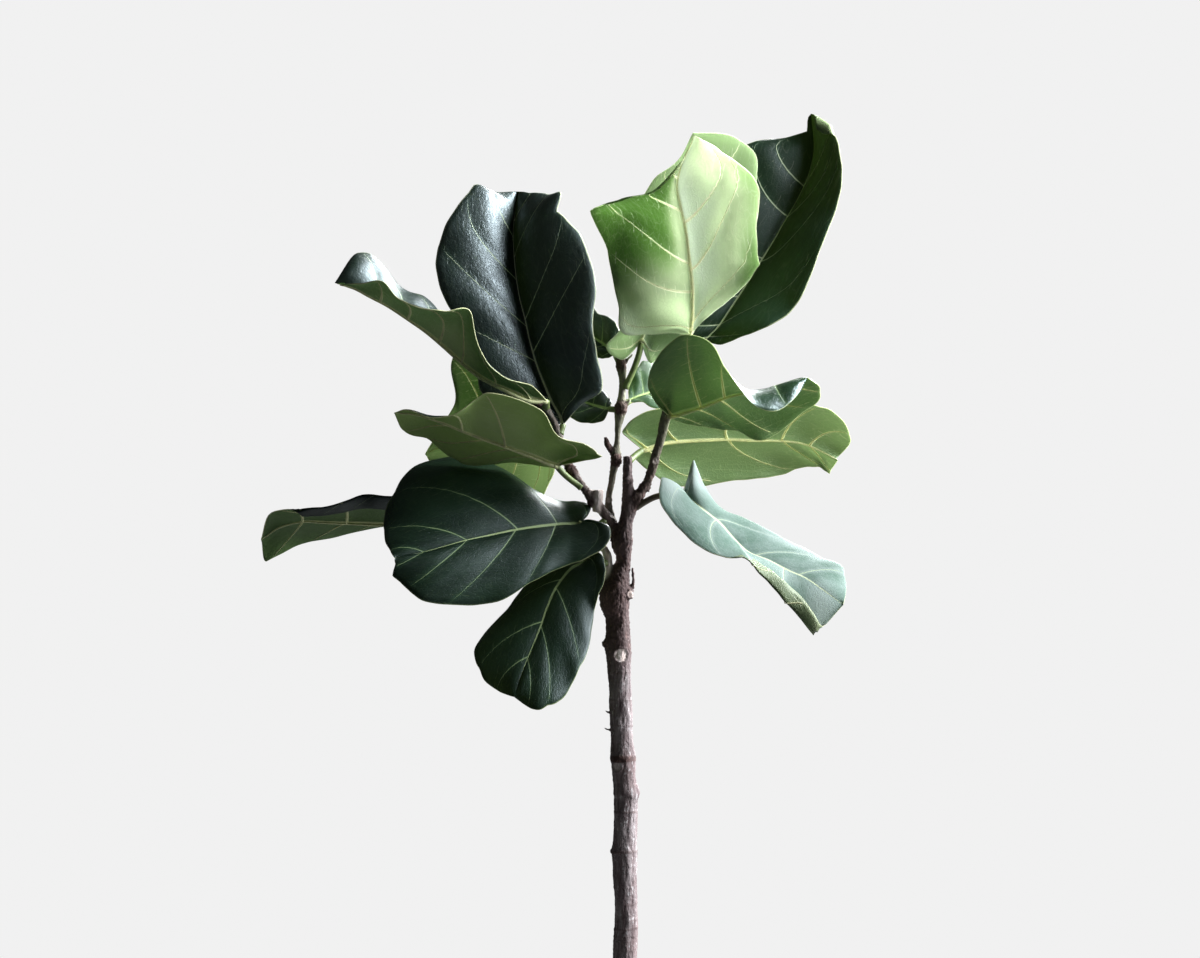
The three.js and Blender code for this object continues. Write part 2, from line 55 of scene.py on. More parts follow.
VIEW_END = 50  # metres
SENSOR = 36

# ---- planter and soil ----
POT_HEIGHT = 262
POT_FOOT_RADIUS = 96
POT_TOP_RADIUS = 142
POT_WALL = 8
POT_FLOOR = 12
POT_SIDES = 144
LIP = 3.2  # rounding of the rim
LIP_BAND = 8  # height of the rim that the lip takes up
FOOT_ROUND = 4.0
FOOT_HOLLOW = 2.0  # rise of the underside inside its foot ring
SOIL_BELOW_RIM = 28
SOIL_TOP = POT_HEIGHT - SOIL_BELOW_RIM
SOIL_MOUND = 9
SOIL_SINK = 2.5  # how far the bed starts below the soil line
SOIL_ROUGH = 2.8
SOIL_SKIRT = 22  # height of the bed's hidden side
SOIL_SIDES = 180
SOIL_RINGS = 58
CRUMB_SEED = 7
TRUNK_IN_SOIL = 95
TRUNK_ROOT_RADIUS = 14
FOOT_HEIGHT = 20.0  # the trunk stands upright this far above the soil
FOOT_CLEARANCE = 0.5  # from the bottom of the hole
FLOOR_RADIUS = 1450
FLOOR_SIDES = 96
FLOOR_LEVEL = -0.4

# ---- leaves ----
ROW_STEPS = 7  # fine rows to one row of the rails
HALF_STEPS = 16  # fine columns from midrib to margin
COLUMNS = 2 * HALF_STEPS + 1
COLUMN_POWER = 1.15  # the columns lie closer together near the midrib
THICKNESS = 0.9
CAMBER = 0.1
RIPPLE = 2.5
RIPPLE_STEP = 2.1
FINE_RIPPLE = 0.7
FINE_RIPPLE_STEP = 4.3
FINE_RIPPLE_PHASE = 2.7
QUILT = 2.1  # rise of the blade between its side veins
GROOVE = 0.9  # depth of the groove over the midrib
GROOVE_WIDTH = 4.5
FULL_SWELL_WIDTH = 25  # a half blade narrower than this swells less
MARGIN_ROUND = 0.4
SCALLOP = 1.6
MARGIN_WOBBLE = 0.5
NOTE_SHARPNESS = 1.3
TURN_IN_ROWS = 0.9  # rows over which a turned edge starts
TURN_OUT_ROWS = 0.5
TURN_POWER = 1.2
BEYOND_VEINS = 1.2  # rows to the unseen veins before the first and after the last
BEYOND_ENDS = 0.6
CLOSEST_VEINS = 0.05
AHEAD_ROWS = 0.05
END_ROWS = 0.25  # normals are read this far from base and tip
NORMAL_ROWS = 0.12
NORMAL_REACH = 0.06
LEAST_REACH = 0.02
LEAST_COUNT = 0.02
VEIN_GAP = (2, 90)  # least and greatest distance from one side vein to the next
PETIOLE_RADIUS = 3.2
PETIOLE_STEPS = 6
PETIOLE_SWELL = 0.3  # towards the wood
PETIOLE_SWELL_STEPS = 1.5
MIDRIB_RADIUS = 2.3
MIDRIB_TIP_RADIUS = 0.5
MIDRIB_TAPER = 0.75
MIDRIB_ROWS = (0.15, 0.975)  # first row, and the share of the rows where it ends
MIDRIB_SIDES = 10
MIDRIB_REACH = 0.03
MIDRIB_OUT = 0.72  # its middle lies this share of its radius under the blade, less what is sunk
MIDRIB_SUNK = 0.15
VEIN_RADIUS = 1.0
VEIN_TIP_RADIUS = 0.3
VEIN_TAPER = 0.8
VEIN_BEND = 1.6  # how late a side vein turns towards the tip
VEIN_STEPS = 16
VEIN_REACH = 0.93
VEIN_SIDES = 6
VEIN_OUT = 0.45
VEIN_SUNK = 0.1
SMALL_VEIN = 0.45  # size of the veins of the narrowest blades
VEIN_WIDTH_SCALE = 110
NARROWEST = 6  # a half blade under this width has no side vein
MERGE = 0.00001  # vertices closer than this, in metres, are one
UPPER, UNDER, MARGIN, RIB, STALK = range(5)

# ---- wood ----
BARK_VOXEL = 1.1
BARK_SMOOTHING = 3
WOOD_SIDES = 24
WOOD_STEP = 4
LEAST_STEM = 0.9  # a stem gets no thinner than this share of its thinnest place
TWIG_STEPS = 9
TWIG_SIDES = 10
KNOB_LUMP = 0.16
TONE_REACH = 30
TONE_ROUNDS = 8
MARK_REACH = 1.6  # a scar or knob works as far as this many radii
RING_LIMIT = 960  # no leaf rings above this height
RING_YOUNG = 0.3  # and none on bark younger than this
RING_TILT = 2.5
SCAR_RIM = 0.9
SCAR_DEPTH = 0.5
TRUNK_DARKNESS = 0.62
DARK_FROM = (705, 630)  # down in the view: the trunk grows dark from the first to the second
DARK_EASES = (480, 545)  # and its dark eases from the second to the first

# ---- light: place, size in metres, watts, colour ----
CROWN_CENTRE = (0.0, 0.0, 1.0)
LIGHTS = {
    "window": ((2.1, 0.15, 2.0), (1.6, 2.4), 440, (0.94, 0.975, 1.0)),
    "window_back": ((1.0, 1.75, 1.95), (1.3, 1.2), 195, (0.97, 0.99, 1.0)),
}

# Stems from foot to end: [across, down, depth, radius]
STEMS = {
  "trunk": [
    [625, 958, 0, 12.2], [626, 930, 0, 12], [625.8, 900, 0, 11.4], [625, 875, 0, 11.8], [624.5, 851, 0, 13],
    [625, 840, 0, 12], [626, 800, 0, 12], [626.5, 793, 0, 13.2], [624.5, 780, 0, 11.5], [623, 757, 0, 12.6],
    [622, 740, 0, 11], [620.5, 700, 0, 11.5], [619.2, 670, 0, 11.6], [618, 645, 0, 13.2],
    [617.4, 620, 0, 11.6], [615, 604, 0, 14.6], [615.4, 590, 0, 15.2], [619, 575, 0, 11],
    [623.7, 560, 0, 7.2],
    [622, 542, 0, 10.5], [626, 522, 0, 6.8], [629, 505, 0, 7.6], [627.5, 480, 0, 5.2], [627.5, 456, 0, 4.8],
  ],
  "stub": [[609, 596, -2, 7], [608, 575, -3, 5], [607.5, 556, -4, 4.4], [604.5, 549, -4, 3.2]],
  "cut_stub": [[597, 512, -5, 4.6], [597.5, 503, -6, 4.6], [598, 496, -7, 4.8], [598, 490, -7, 5.2]],
  "centre_stem": [
    [619, 542, 3, 6], [611, 522, 4, 5.6], [608.5, 503, 5, 3.6], [611, 485, 6, 3.4], [614, 468, 7, 4],
    [616, 460, 7.5, 5.2], [617, 445, 8, 3.2], [618, 428, 9, 3.4], [620.5, 410, 10, 6.2], [621.5, 398, 10, 4],
    [622.5, 380, 10, 3.6], [621, 366, 10, 5.4], [618, 356, 10, 2.4],
  ],
  "centre_spur": [[620, 464, 8, 3.4], [613, 453, 8, 3.2], [608, 445, 8, 3.2], [605, 437, 8, 2.2]],
  "left_branch": [
    [612, 524, 0, 5.4], [603, 512, -3, 4.8], [594, 500, -5, 5.4], [583, 487, -8, 4.2], [573, 473, -8, 5],
    [564, 456, -6, 3.6], [559, 436, -3, 4], [553, 420, 0, 3.6], [544, 408, 2, 4.6], [535, 404, 2, 2.6],
  ],
  "right_branch": [
    [628, 512, 0, 6.5], [637, 499, -1, 6], [646, 484, -4, 4.4], [652, 469, -8, 4.8], [656, 454, -11, 4.4],
    [661, 438, -15, 4.6], [664, 424, -18, 5], [668, 411, -21, 5.4], [672, 398, -22, 2.6],
  ],
}

# Each rail runs from the base of the blade to its tip;
# left and right as walked from base to tip in the front view.
# face is -1 where the front view looks on the upper side, 1 where it looks on the underside.
LEAVES = {
  "leaf_a": {
    "face": -1,
    "petiole": [[547, 401, -12], [546, 407, -2]],
    "left": [
      [531, 386, -36], [508, 379, -60], [488, 364, -80], [476, 338, -94], [468, 310, -104], [446, 311, -110],
      [420, 308, -112], [398, 298, -108], [381, 281, -100], [361, 284, -92],
    ],
    "mid": [
      [527, 398, -24], [503, 387, -36], [480, 375, -46], [462, 361, -54], [445, 346, -60], [427, 331, -66],
      [408, 318, -71], [388, 305, -76], [370, 296, -80], [354, 288, -83],
    ],
    "right": [
      [538, 392, -4], [520, 385, -2], [498, 377, -2], [476, 356, -5], [458, 332, -10], [440, 312, -20],
      [424, 297, -28], [400, 287, -36], [380, 262, -46], [357, 253, -64],
    ],
    "tip": [335, 283, -84],
  },
  "leaf_b": {
    "face": -1,
    "petiole": [[563, 425, 0], [560, 434, -2]],
    "left": [
      [540, 418, 6], [508, 408, 8], [483, 394, 9], [474, 364, 14], [462, 328, 24], [445, 299, 34],
      [437, 268, 44], [439, 243, 56], [453, 214, 70], [476, 187, 86], [496, 192, 104],
    ],
    "mid": [
      [560, 416, 6], [553, 404, 13], [546, 388, 21], [538, 368, 31], [531, 345, 42], [526, 322, 54],
      [520, 298, 67], [516, 272, 80], [514, 247, 93], [514, 225, 104], [516, 207, 113],
    ],
    "right": [
      [582, 404, -2], [601, 389, -4], [597, 356, 0], [593, 322, 10], [595, 288, 22], [590, 259, 34],
      [580, 236, 45], [564, 216, 58], [560, 196, 74], [548, 194, 90], [533, 193, 106],
    ],
    "tip": [518, 192, 118],
  },
  "leaf_c": {
    "face": 1,
    "petiole": [[690, 338, -42], [686, 352, -29], [678, 377, -24], [672, 400, -24]],
    "left": [
      [674, 333, -44], [648, 334, -46], [621, 332, -48], [617, 297, -52], [607, 250, -54], [594, 212, -56],
      [622, 199, -76], [655, 189, -92], [682, 160, -106],
    ],
    "mid": [
      [691, 327, -44], [692, 317, -47], [692, 303, -52], [692, 285, -59], [689, 258, -70], [686, 232, -81],
      [681, 208, -91], [677, 185, -99], [683, 160, -107],
    ],
    "right": [
      [698, 326, -43], [712, 313, -43], [732, 297, -44], [750, 278, -48], [757, 258, -54], [757, 228, -64],
      [759, 193, -78], [748, 172, -90], [722, 152, -102],
    ],
    "tip": [695, 135, -112],
  },
  "leaf_d": {
    "face": -1,
    "petiole": [[704, 341, 22], [692, 360, 17], [680, 385, 5], [669, 409, -14]],
    "left": [
      [690, 350, 20], [666, 350, 18], [647, 339, 22], [652, 305, 36], [661, 270, 52], [676, 230, 66],
      [692, 195, 80], [711, 169, 90], [733, 154, 98], [757, 141, 106], [790, 136, 113],
    ],
    "mid": [
      [710, 335, 25], [718, 327, 30], [730, 310, 38], [745, 287, 50], [760, 263, 63], [774, 241, 75],
      [786, 220, 86], [796, 203, 95], [805, 185, 103], [811, 168, 110], [814, 148, 115],
    ],
    "right": [
      [720, 344, 14], [738, 338, 8], [760, 330, 4], [786, 315, 4], [803, 292, 10], [820, 251, 24],
      [834, 215, 40], [841, 184, 56], [841, 160, 72], [836, 138, 88], [828, 122, 104],
    ],
    "tip": [811, 114, 118],
  },
  "leaf_e": {
    "face": 1,
    "petiole": [[557, 466, -22], [563, 473, -17], [571, 480, -13], [581, 487, -9]],
    "left": [
      [556, 468, -15], [550, 467, -11], [540, 466, -8], [528, 464, -6], [510, 462, -6], [488, 465, -8],
      [466, 464, -12], [448, 455, -18], [426, 439, -28], [404, 431, -46],
    ],
    "mid": [
      [555, 464, -23], [551, 463, -25], [545, 461, -27], [536, 457, -31], [522, 452, -37], [505, 446, -43],
      [485, 439, -50], [462, 430, -58], [440, 421, -64], [415, 414, -69],
    ],
    "right": [
      [582, 461, -26], [597, 457, -34], [586, 445, -48], [558, 436, -66], [540, 410, -80], [492, 393, -92],
      [476, 400, -93], [457, 413, -89], [432, 418, -81], [408, 410, -76],
    ],
    "tip": [394, 413, -72],
  },
  "leaf_f": {
    "face": -1,
    "petiole": [[580, 523, -16], [592, 528, -10], [605, 521, -3]],
    "left": [
      [594, 521, -20], [609, 528, -28], [605, 546, -38], [583, 560, -50], [556, 569, -62], [530, 583, -74],
      [503, 599, -88], [468, 605, -100], [434, 603, -109], [411, 592, -113], [395, 574, -109],
    ],
    "mid": [
      [579, 523, -17], [578, 524, -18], [575, 524, -19], [570, 524, -21], [563, 524, -24], [553, 525, -29],
      [536, 527, -38], [516, 530, -48], [492, 535, -60], [464, 541, -74], [428, 551, -90],
    ],
    "right": [
      [585, 515, -12], [590, 507, -6], [578, 501, 1], [556, 500, 6], [530, 488, 10], [500, 467, 11],
      [460, 457, 6], [415, 467, -12], [394, 492, -36], [384, 523, -64], [387, 544, -86],
    ],
    "tip": [395, 558, -102],
  },
  "leaf_g": {
    "face": -1,
    "petiole": [[585, 561, -20], [595, 563, -13], [606, 563, -5]],
    "left": [
      [596, 552, -22], [603, 560, -27], [604, 579, -36], [597, 600, -46], [592, 625, -58], [587, 652, -72],
      [577, 673, -86], [563, 697, -98], [548, 706, -104], [531, 708, -106],
    ],
    "mid": [
      [584, 562, -21], [582, 563, -22], [578, 565, -24], [572, 568, -28], [565, 575, -33], [556, 588, -41],
      [548, 606, -52], [541, 626, -65], [533, 646, -77], [524, 668, -90],
    ],
    "right": [
      [578, 556, -17], [568, 556, -15], [553, 562, -14], [538, 573, -16], [523, 589, -22], [508, 608, -32],
      [489, 629, -48], [475, 651, -65], [480, 671, -80], [495, 689, -93],
    ],
    "tip": [514, 697, -103],
  },
  "leaf_h": {
    "face": 1,
    "petiole": [[478, 526, 62], [512, 530, 50], [552, 534, 34], [586, 530, 18], [610, 523, 4]],
    "left": [
      [484, 529, 68], [484, 531, 80], [472, 530, 94], [450, 528, 108], [420, 526, 121], [388, 526, 132],
      [360, 531, 140], [330, 538, 143], [298, 545, 138], [267, 559, 124],
    ],
    "mid": [
      [474, 526, 63], [468, 525, 65], [460, 525, 68], [448, 525, 71], [430, 524, 77], [384, 524, 88],
      [358, 523, 94], [330, 522, 100], [303, 521, 106], [279, 527, 110],
    ],
    "right": [
      [488, 521, 56], [490, 512, 46], [478, 504, 36], [455, 500, 28], [425, 497, 25], [385, 496, 28],
      [362, 495, 37], [334, 505, 47], [304, 509, 60], [271, 513, 84],
    ],
    "tip": [261, 540, 112],
  },
  "leaf_i": {
    "face": 1,
    "petiole": [[669, 416, -30], [667, 418, -21]],
    "left": [
      [657, 404, -38], [648, 383, -50], [656, 360, -62], [682, 335, -76], [710, 343, -84], [724, 366, -87],
      [739, 388, -87], [757, 407, -82], [779, 410, -72], [796, 396, -59],
    ],
    "mid": [
      [675, 415, -31], [684, 412, -33], [694, 409, -35], [706, 405, -38], [718, 400, -41], [729, 396, -43],
      [741, 393, -45], [756, 391, -46], [775, 385, -46], [793, 380, -46],
    ],
    "right": [
      [676, 420, -24], [690, 424, -16], [705, 427, -10], [721, 429, -6], [738, 431, -4], [757, 440, -3],
      [776, 434, -4], [797, 416, -8], [816, 403, -16], [820, 388, -30],
    ],
    "tip": [808, 378, -46],
  },
  "leaf_j": {
    "face": -1,
    "petiole": [[683, 492, -14], [670, 495, -10], [655, 497, -6], [636, 507, 0]],
    "left": [
      [688, 477, -8], [694, 464, -3], [704, 485, -2], [721, 508, -4], [743, 518, -8], [766, 529, -13],
      [787, 540, -18], [805, 549, -24], [823, 558, -30], [842, 567, -38], [846, 586, -52],
    ],
    "mid": [
      [688, 497, -17], [693, 502, -20], [701, 508, -24], [710, 515, -28], [720, 523, -33], [733, 538, -40],
      [748, 552, -46], [768, 560, -51], [788, 570, -57], [806, 578, -61], [822, 589, -64],
    ],
    "right": [
      [677, 484, -24], [664, 480, -36], [660, 500, -48], [673, 522, -60], [695, 543, -69], [722, 557, -74],
      [746, 559, -78], [760, 575, -80], [777, 593, -80], [793, 611, -79], [814, 632, -76],
    ],
    "tip": [843, 605, -66],
  },
  "leaf_k": {
    "face": 1,
    "petiole": [[643, 450, 18], [637, 454, 13], [629, 461, 4]],
    "left": [
      [631, 440, 12], [623, 430, 8], [640, 415, 8], [670, 407, 13], [710, 404, 21], [750, 404, 31],
      [785, 405, 43], [815, 405, 56], [835, 414, 67], [850, 436, 79],
    ],
    "mid": [
      [652, 447, 22], [664, 443, 28], [682, 441, 36], [703, 440, 44], [727, 439, 54], [750, 440, 62],
      [772, 440, 69], [790, 441, 75], [806, 444, 80], [822, 451, 85],
    ],
    "right": [
      [636, 458, 26], [650, 470, 38], [672, 484, 52], [702, 486, 66], [730, 481, 78], [757, 478, 88],
      [783, 474, 96], [803, 467, 100], [818, 467, 100], [829, 471, 98],
    ],
    "tip": [838, 460, 88],
  },
  "leaf_l": {
    "face": 1,
    "petiole": [[641, 342, 0], [639, 354, 2], [633, 371, 5], [625, 388, 9]],
    "left": [
      [623, 359, 0], [606, 347, -3], [622, 326, -6], [623, 285, -6], [625, 248, -6], [635, 214, -5],
      [655, 179, -4], [679, 159, -6],
    ],
    "mid": [
      [643, 336, -2], [647, 325, -4], [654, 303, -7], [662, 275, -10], [671, 243, -12], [679, 211, -13],
      [686, 181, -14], [691, 154, -14],
    ],
    "right": [
      [650, 362, 0], [663, 352, -2], [692, 325, -4], [722, 288, -4], [744, 246, -4], [754, 200, -4],
      [756, 158, -6], [732, 136, -9],
    ],
    "tip": [693, 133, -13],
  },
  "leaf_m": {
    "face": -1,
    "petiole": [[629, 401, 14], [621, 408, 11]],
    "left": [
      [629, 392, 20], [631, 381, 32], [636, 370, 52], [643, 362, 78], [657, 362, 108], [670, 356, 138],
      [684, 350, 164], [698, 347, 184],
    ],
    "mid": [
      [636, 398, 20], [644, 395, 30], [655, 391, 46], [668, 386, 68], [681, 380, 94], [692, 374, 122],
      [701, 367, 148], [708, 360, 172],
    ],
    "right": [
      [634, 402, 14], [642, 402, 20], [655, 408, 28], [674, 408, 44], [692, 404, 68], [706, 398, 98],
      [716, 386, 130], [720, 370, 164],
    ],
    "tip": [713, 352, 192],
  },
  "leaf_n": {
    "face": -1,
    "petiole": [[609, 409, 12], [620, 410, 10]],
    "left": [
      [603, 420, 11], [588, 423, 15], [572, 418, 26], [556, 406, 52], [538, 396, 78], [522, 385, 108],
      [512, 373, 138], [508, 362, 168],
    ],
    "mid": [
      [603, 408, 18], [595, 406, 30], [585, 403, 48], [573, 398, 72], [560, 392, 98], [547, 385, 124],
      [535, 377, 150], [524, 368, 174],
    ],
    "right": [
      [611, 403, 18], [609, 398, 30], [602, 391, 52], [598, 384, 80], [594, 374, 112], [586, 364, 142],
      [572, 356, 168], [548, 350, 188],
    ],
    "tip": [515, 357, 194],
  },
  "leaf_o": {
    "face": -1,
    "petiole": [[615, 354, 14], [621, 366, 10]],
    "left": [
      [609, 357, 16], [599, 358, 20], [584, 354, 34], [562, 345, 56], [540, 330, 82], [522, 313, 108],
      [512, 294, 132], [513, 273, 154],
    ],
    "mid": [
      [611, 350, 20], [604, 345, 30], [594, 338, 46], [582, 328, 68], [570, 316, 92], [558, 302, 116],
      [547, 287, 138], [537, 271, 158],
    ],
    "right": [
      [618, 343, 20], [618, 328, 30], [610, 319, 46], [595, 310, 70], [588, 296, 98], [583, 280, 126],
      [575, 264, 150], [556, 252, 168],
    ],
    "tip": [529, 254, 175],
  },
  "leaf_p": {
    "face": 1,
    "petiole": [[557, 437, 14], [560, 441, -2]],
    "left": [
      [560, 447, 20], [556, 464, 28], [550, 481, 38], [541, 497, 50], [520, 503, 64], [498, 500, 78],
      [476, 492, 92], [456, 482, 104], [440, 472, 114], [430, 460, 120],
    ],
    "mid": [
      [552, 436, 20], [546, 436, 27], [538, 435, 36], [527, 434, 48], [513, 433, 62], [498, 434, 76],
      [482, 436, 90], [466, 439, 100], [452, 443, 109], [438, 448, 116],
    ],
    "right": [
      [556, 428, 20], [548, 420, 26], [534, 407, 34], [515, 391, 42], [496, 374, 48], [477, 359, 54],
      [459, 349, 60], [451, 366, 72], [456, 398, 90], [447, 418, 104],
    ],
    "tip": [425, 454, 122],
  },
}

# Side veins, left and right of the midrib: the row where a vein leaves the midrib and the row where it ends.
VEINS = {
  "leaf_a": (
    [(0.9, 2.2), (2.3, 3.8), (4.0, 6.0), (5.3, 7.0), (7.0, 8.0), (8.4, 9.3)],
    [(0.9, 2.5), (2.5, 4.4), (4.2, 6.0), (5.8, 7.6), (7.4, 8.8), (8.7, 9.8)],
  ),
  "leaf_b": (
    [(0.8, 2.0), (2.4, 3.6), (4.3, 5.1), (5.8, 8.0), (7.7, 9.7), (9.4, 10.8)],
    [(0.8, 4.0), (4.7, 6.3), (6.1, 8.0), (8.6, 10.0), (10.2, 11.2)],
  ),
  "leaf_c": (
    [(0.8, 3.7), (3.7, 5.0), (4.8, 6.8), (6.9, 7.9), (8.3, 9.0)],
    [(1.4, 6.2), (4.6, 9.0), (6.4, 9.7)],
  ),
  "leaf_d": (
    [(0.8, 2.2), (2.2, 4.0), (3.6, 6.0), (5.2, 8.4), (7.2, 10.2), (8.9, 11.0)],
    [(0.8, 2.4), (2.2, 6.4), (5.1, 9.4), (7.2, 10.2), (9.0, 11.0)],
  ),
  "leaf_e": (
    [(0.7, 3.5), (3.5, 6.0), (5.5, 7.6), (7.0, 9.0), (8.6, 10.0)],
    [(0.7, 4.6), (6.0, 6.3), (8.0, 8.2), (9.2, 9.7)],
  ),
  "leaf_f": (
    [(0.8, 4.4), (5.8, 6.2), (8.0, 8.6), (9.9, 10.2), (11.1, 11.4)],
    [(0.8, 3.4), (5.6, 6.1), (7.9, 9.0), (9.9, 10.3), (11.1, 11.4)],
  ),
  "leaf_g": (
    [(0.8, 4.6), (6.0, 6.7), (8.0, 9.0), (9.6, 10.2)],
    [(0.8, 4.2), (5.4, 6.2), (7.8, 8.9), (9.5, 10.1)],
  ),
  "leaf_h": (
    [(0.8, 3.2), (4.0, 5.2), (5.6, 7.2), (7.4, 8.6), (9.0, 9.8)],
    [(0.8, 3.4), (4.2, 5.4), (5.8, 7.4), (7.4, 8.4), (9.0, 9.7)],
  ),
  "leaf_i": (
    [(0.6, 2.4), (3.6, 4.2), (5.6, 5.9), (7.3, 7.6), (9.0, 9.4)],
    [(0.6, 3.0), (3.2, 5.0), (5.2, 7.0), (7.2, 8.6), (9.0, 9.7)],
  ),
  "leaf_j": (
    [(0.6, 3.6), (4.7, 7.2), (7.4, 9.0), (9.6, 10.4)],
    [(0.6, 4.6), (4.7, 6.0), (6.6, 8.4), (8.8, 10.4)],
  ),
  "leaf_k": (
    [(0.5, 2.3), (2.8, 4.4), (5.0, 6.4), (7.5, 8.2), (9.2, 9.9)],
    [(0.5, 4.8), (5.1, 7.6), (7.6, 9.2), (9.3, 10.2)],
  ),
}
USUAL_VEINS = (
  [(0.6, 2.0), (2.0, 3.4), (3.4, 4.8), (4.9, 6.2), (6.4, 7.5)],
  [(0.7, 2.2), (2.3, 3.7), (3.8, 5.1), (5.2, 6.5), (6.7, 7.7)],
)

# Points and bays of a margin: side, row, half width in rows, how far out in millimetres.
MARGIN_NOTES = {
  "leaf_b": [("right", 8.5, 0.5, -9.0), ("right", 9.2, 0.4, 3.0), ("left", 10.0, 0.5, 2.0)],
  "leaf_c": [("left", 6.0, 0.35, 4.0), ("right", 4.7, 0.4, 3.5), ("left", 7.6, 0.6, -3.0)],
  "leaf_d": [("left", 11.45, 0.45, -9.0)],
  "leaf_e": [("right", 2.0, 0.3, 4.0), ("left", 8.8, 0.6, -2.0)],
  "leaf_f": [("left", 11.0, 0.4, 2.5), ("left", 11.6, 0.3, -2.0)],
  "leaf_h": [("left", 10.0, 0.4, 3.0)],
  "leaf_j": [("left", 2.0, 0.35, 3.5), ("right", 2.0, 0.4, 3.0), ("right", 11.0, 0.35, 3.0)],
  "leaf_k": [("left", 10.4, 0.4, 3.0), ("left", 10.85, 0.2, -4.0), ("right", 10.0, 0.3, 3.0)],
}
# Turned edges: side, first and last row, reach of the keel, and how far the edge turns inward and towards
# the eye from keel to margin.
TURNED_EDGES = {
  "leaf_j": [("right", 6.2, 11.4, 0.6, 19.0, 6.0)],
  "leaf_h": [("right", 0.8, 9.4, 0.5, 32.0, 9.0)],
  "leaf_d": [("right", 10.0, 11.9, 0.6, 14.0, 9.0)],
  "leaf_c": [("left", 5.8, 9.2, 0.93, 4.0, 3.0)],
}
# How far the blade swells between its veins, where that is not the usual 1.
FLATNESS = {"leaf_b": 1.15, "leaf_j": 0.3, "leaf_h": 0.6, "leaf_d": 0.8, "leaf_f": 0.8, "leaf_g": 0.6}
# Painted light (above 0) and painted shade (below 0) on the blades: row, reach (left below 0, right
# above 0), half rows, half reach, amount.
PAINTED_LIGHT_AND_SHADE_NOTES = {
  "leaf_a": [(4.5, -0.1, 1.6, 0.4, 0.9), (1.5, -0.2, 1.4, 0.6, -0.3), (8.5, 0.3, 1.6, 0.6, 0.5)],
  "leaf_c": [
    (7.0, -0.6, 2.2, 0.7, -1.1), (4.8, -0.9, 1.2, 0.5, -0.7), (5.2, -0.2, 1.6, 0.25, -0.5),
    (2.0, -0.6, 1.9, 0.9, 1.6), (7.0, 0.2, 2.4, 0.35, 1.7), (5.0, 0.25, 1.8, 0.3, 0.8),
    (2.2, 0.6, 1.4, 0.4, 0.5), (4.4, 1.0, 2.2, 0.3, -0.8), (7.8, 1.0, 1.2, 0.25, -0.5),
    (2.6, 0.1, 2.0, 0.15, -0.7),
  ],
  "leaf_d": [(3.0, 0.6, 2.6, 0.7, 1.0), (9.0, 0.5, 2.5, 0.4, 0.3), (11.2, 1.0, 0.8, 0.5, 2.0)],
  "leaf_e": [(2.0, 0.6, 1.6, 0.7, -0.8), (6.0, 0.3, 1.8, 0.5, 0.5), (9.0, 0.0, 1.4, 1.0, -0.4)],
  "leaf_f": [(6.0, 0.9, 4.0, 0.5, 0.8), (7.0, -0.2, 3.0, 0.5, -0.5)],
  "leaf_h": [(5.0, 0.0, 20.0, 5.0, -1.0)],
  "leaf_j": [
    (1.8, 0.8, 1.2, 0.4, 1.0), (2.0, -0.8, 1.2, 0.5, 1.0), (11.2, 0.5, 0.8, 0.8, 0.8),
    (4.4, 0.95, 1.6, 0.2, -1.2), (9.0, 0.1, 1.6, 0.2, 0.4), (8.0, -0.9, 3.0, 0.2, 0.5),
  ],
  "leaf_l": [(4.0, 0.0, 20.0, 5.0, -0.25)],
  "leaf_i": [(2.5, -0.6, 1.6, 0.6, 0.25), (6.0, 0.1, 2.2, 0.8, 0.3)],
  "leaf_k": [(1.5, -0.4, 1.6, 0.8, -0.45), (6.0, 0.3, 2.4, 0.6, 0.3), (9.5, 0.0, 2.0, 1.0, 0.3)],
  "leaf_p": [(6.5, 0.5, 3.5, 0.8, -0.7), (3.0, -0.5, 2.2, 0.7, 1.2)],
}


# ---- places and curves ----
def seen(place):
    across, down, depth = place[:3]
    spread = (VIEW_DISTANCE + depth) / VIEW_DISTANCE
    x = (across - VIEW_CENTRE[0]) * spread + VIEW_SIDE
    z = (VIEW_CENTRE[1] - down) * spread + VIEW_HEIGHT
    return np.array([x, depth, z], dtype=float)


def spline(points, at):
    """Catmull-Rom curve through the points, read at positions counted in points."""
    points = np.asarray(points, dtype=float)
    ends = [2 * points[0] - points[1], 2 * points[-1] - points[-2]]
    padded = np.vstack([ends[0], points, ends[1]])
    at = np.clip(np.asarray(at, dtype=float), 0, len(points) - 1)
    first = np.minimum(at.astype(int), len(points) - 2)
    f = (at - first)[..., None]
    a, b, c, d = (padded[first + k] for k in range(4))
    curve = 2 * b + (c - a) * f + (2 * a - 5 * b + 4 * c - d) * f**2 + (3 * b - 3 * c + d - a) * f**3
    return curve / 2


def unit(vectors):
    length = np.linalg.norm(vectors, axis=-1, keepdims=True)
    return vectors / np.maximum(length, 1e-9)


def smooth_step(x, low, high):
    x = np.clip((np.asarray(x, dtype=float) - low) / (high - low), 0, 1)
    return x * x * (3 - 2 * x)


# ---- meshes ----
def make_object(name, vertices, faces, materials, indices=None, smooth=True):
    mesh = bpy.data.meshes.new(name)
    mesh.from_pydata([tuple(v) for v in np.asarray(vertices) * MM], [], faces)
    for material in materials:
        mesh.materials.append(material)
    if indices is not None:
        mesh.polygons.foreach_set("material_index", indices)
    mesh.polygons.foreach_set("use_smooth", [smooth] * len(mesh.polygons))
    mesh.update()
    piece = bpy.data.objects.new(name, mesh)
    bpy.context.scene.collection.objects.link(piece)
    return piece


def circle(radius, height, sides):
    turns = (2 * math.pi * s / sides for s in range(sides))
    return [np.array([radius * math.cos(angle), radius * math.sin(angle), height]) for angle in turns]


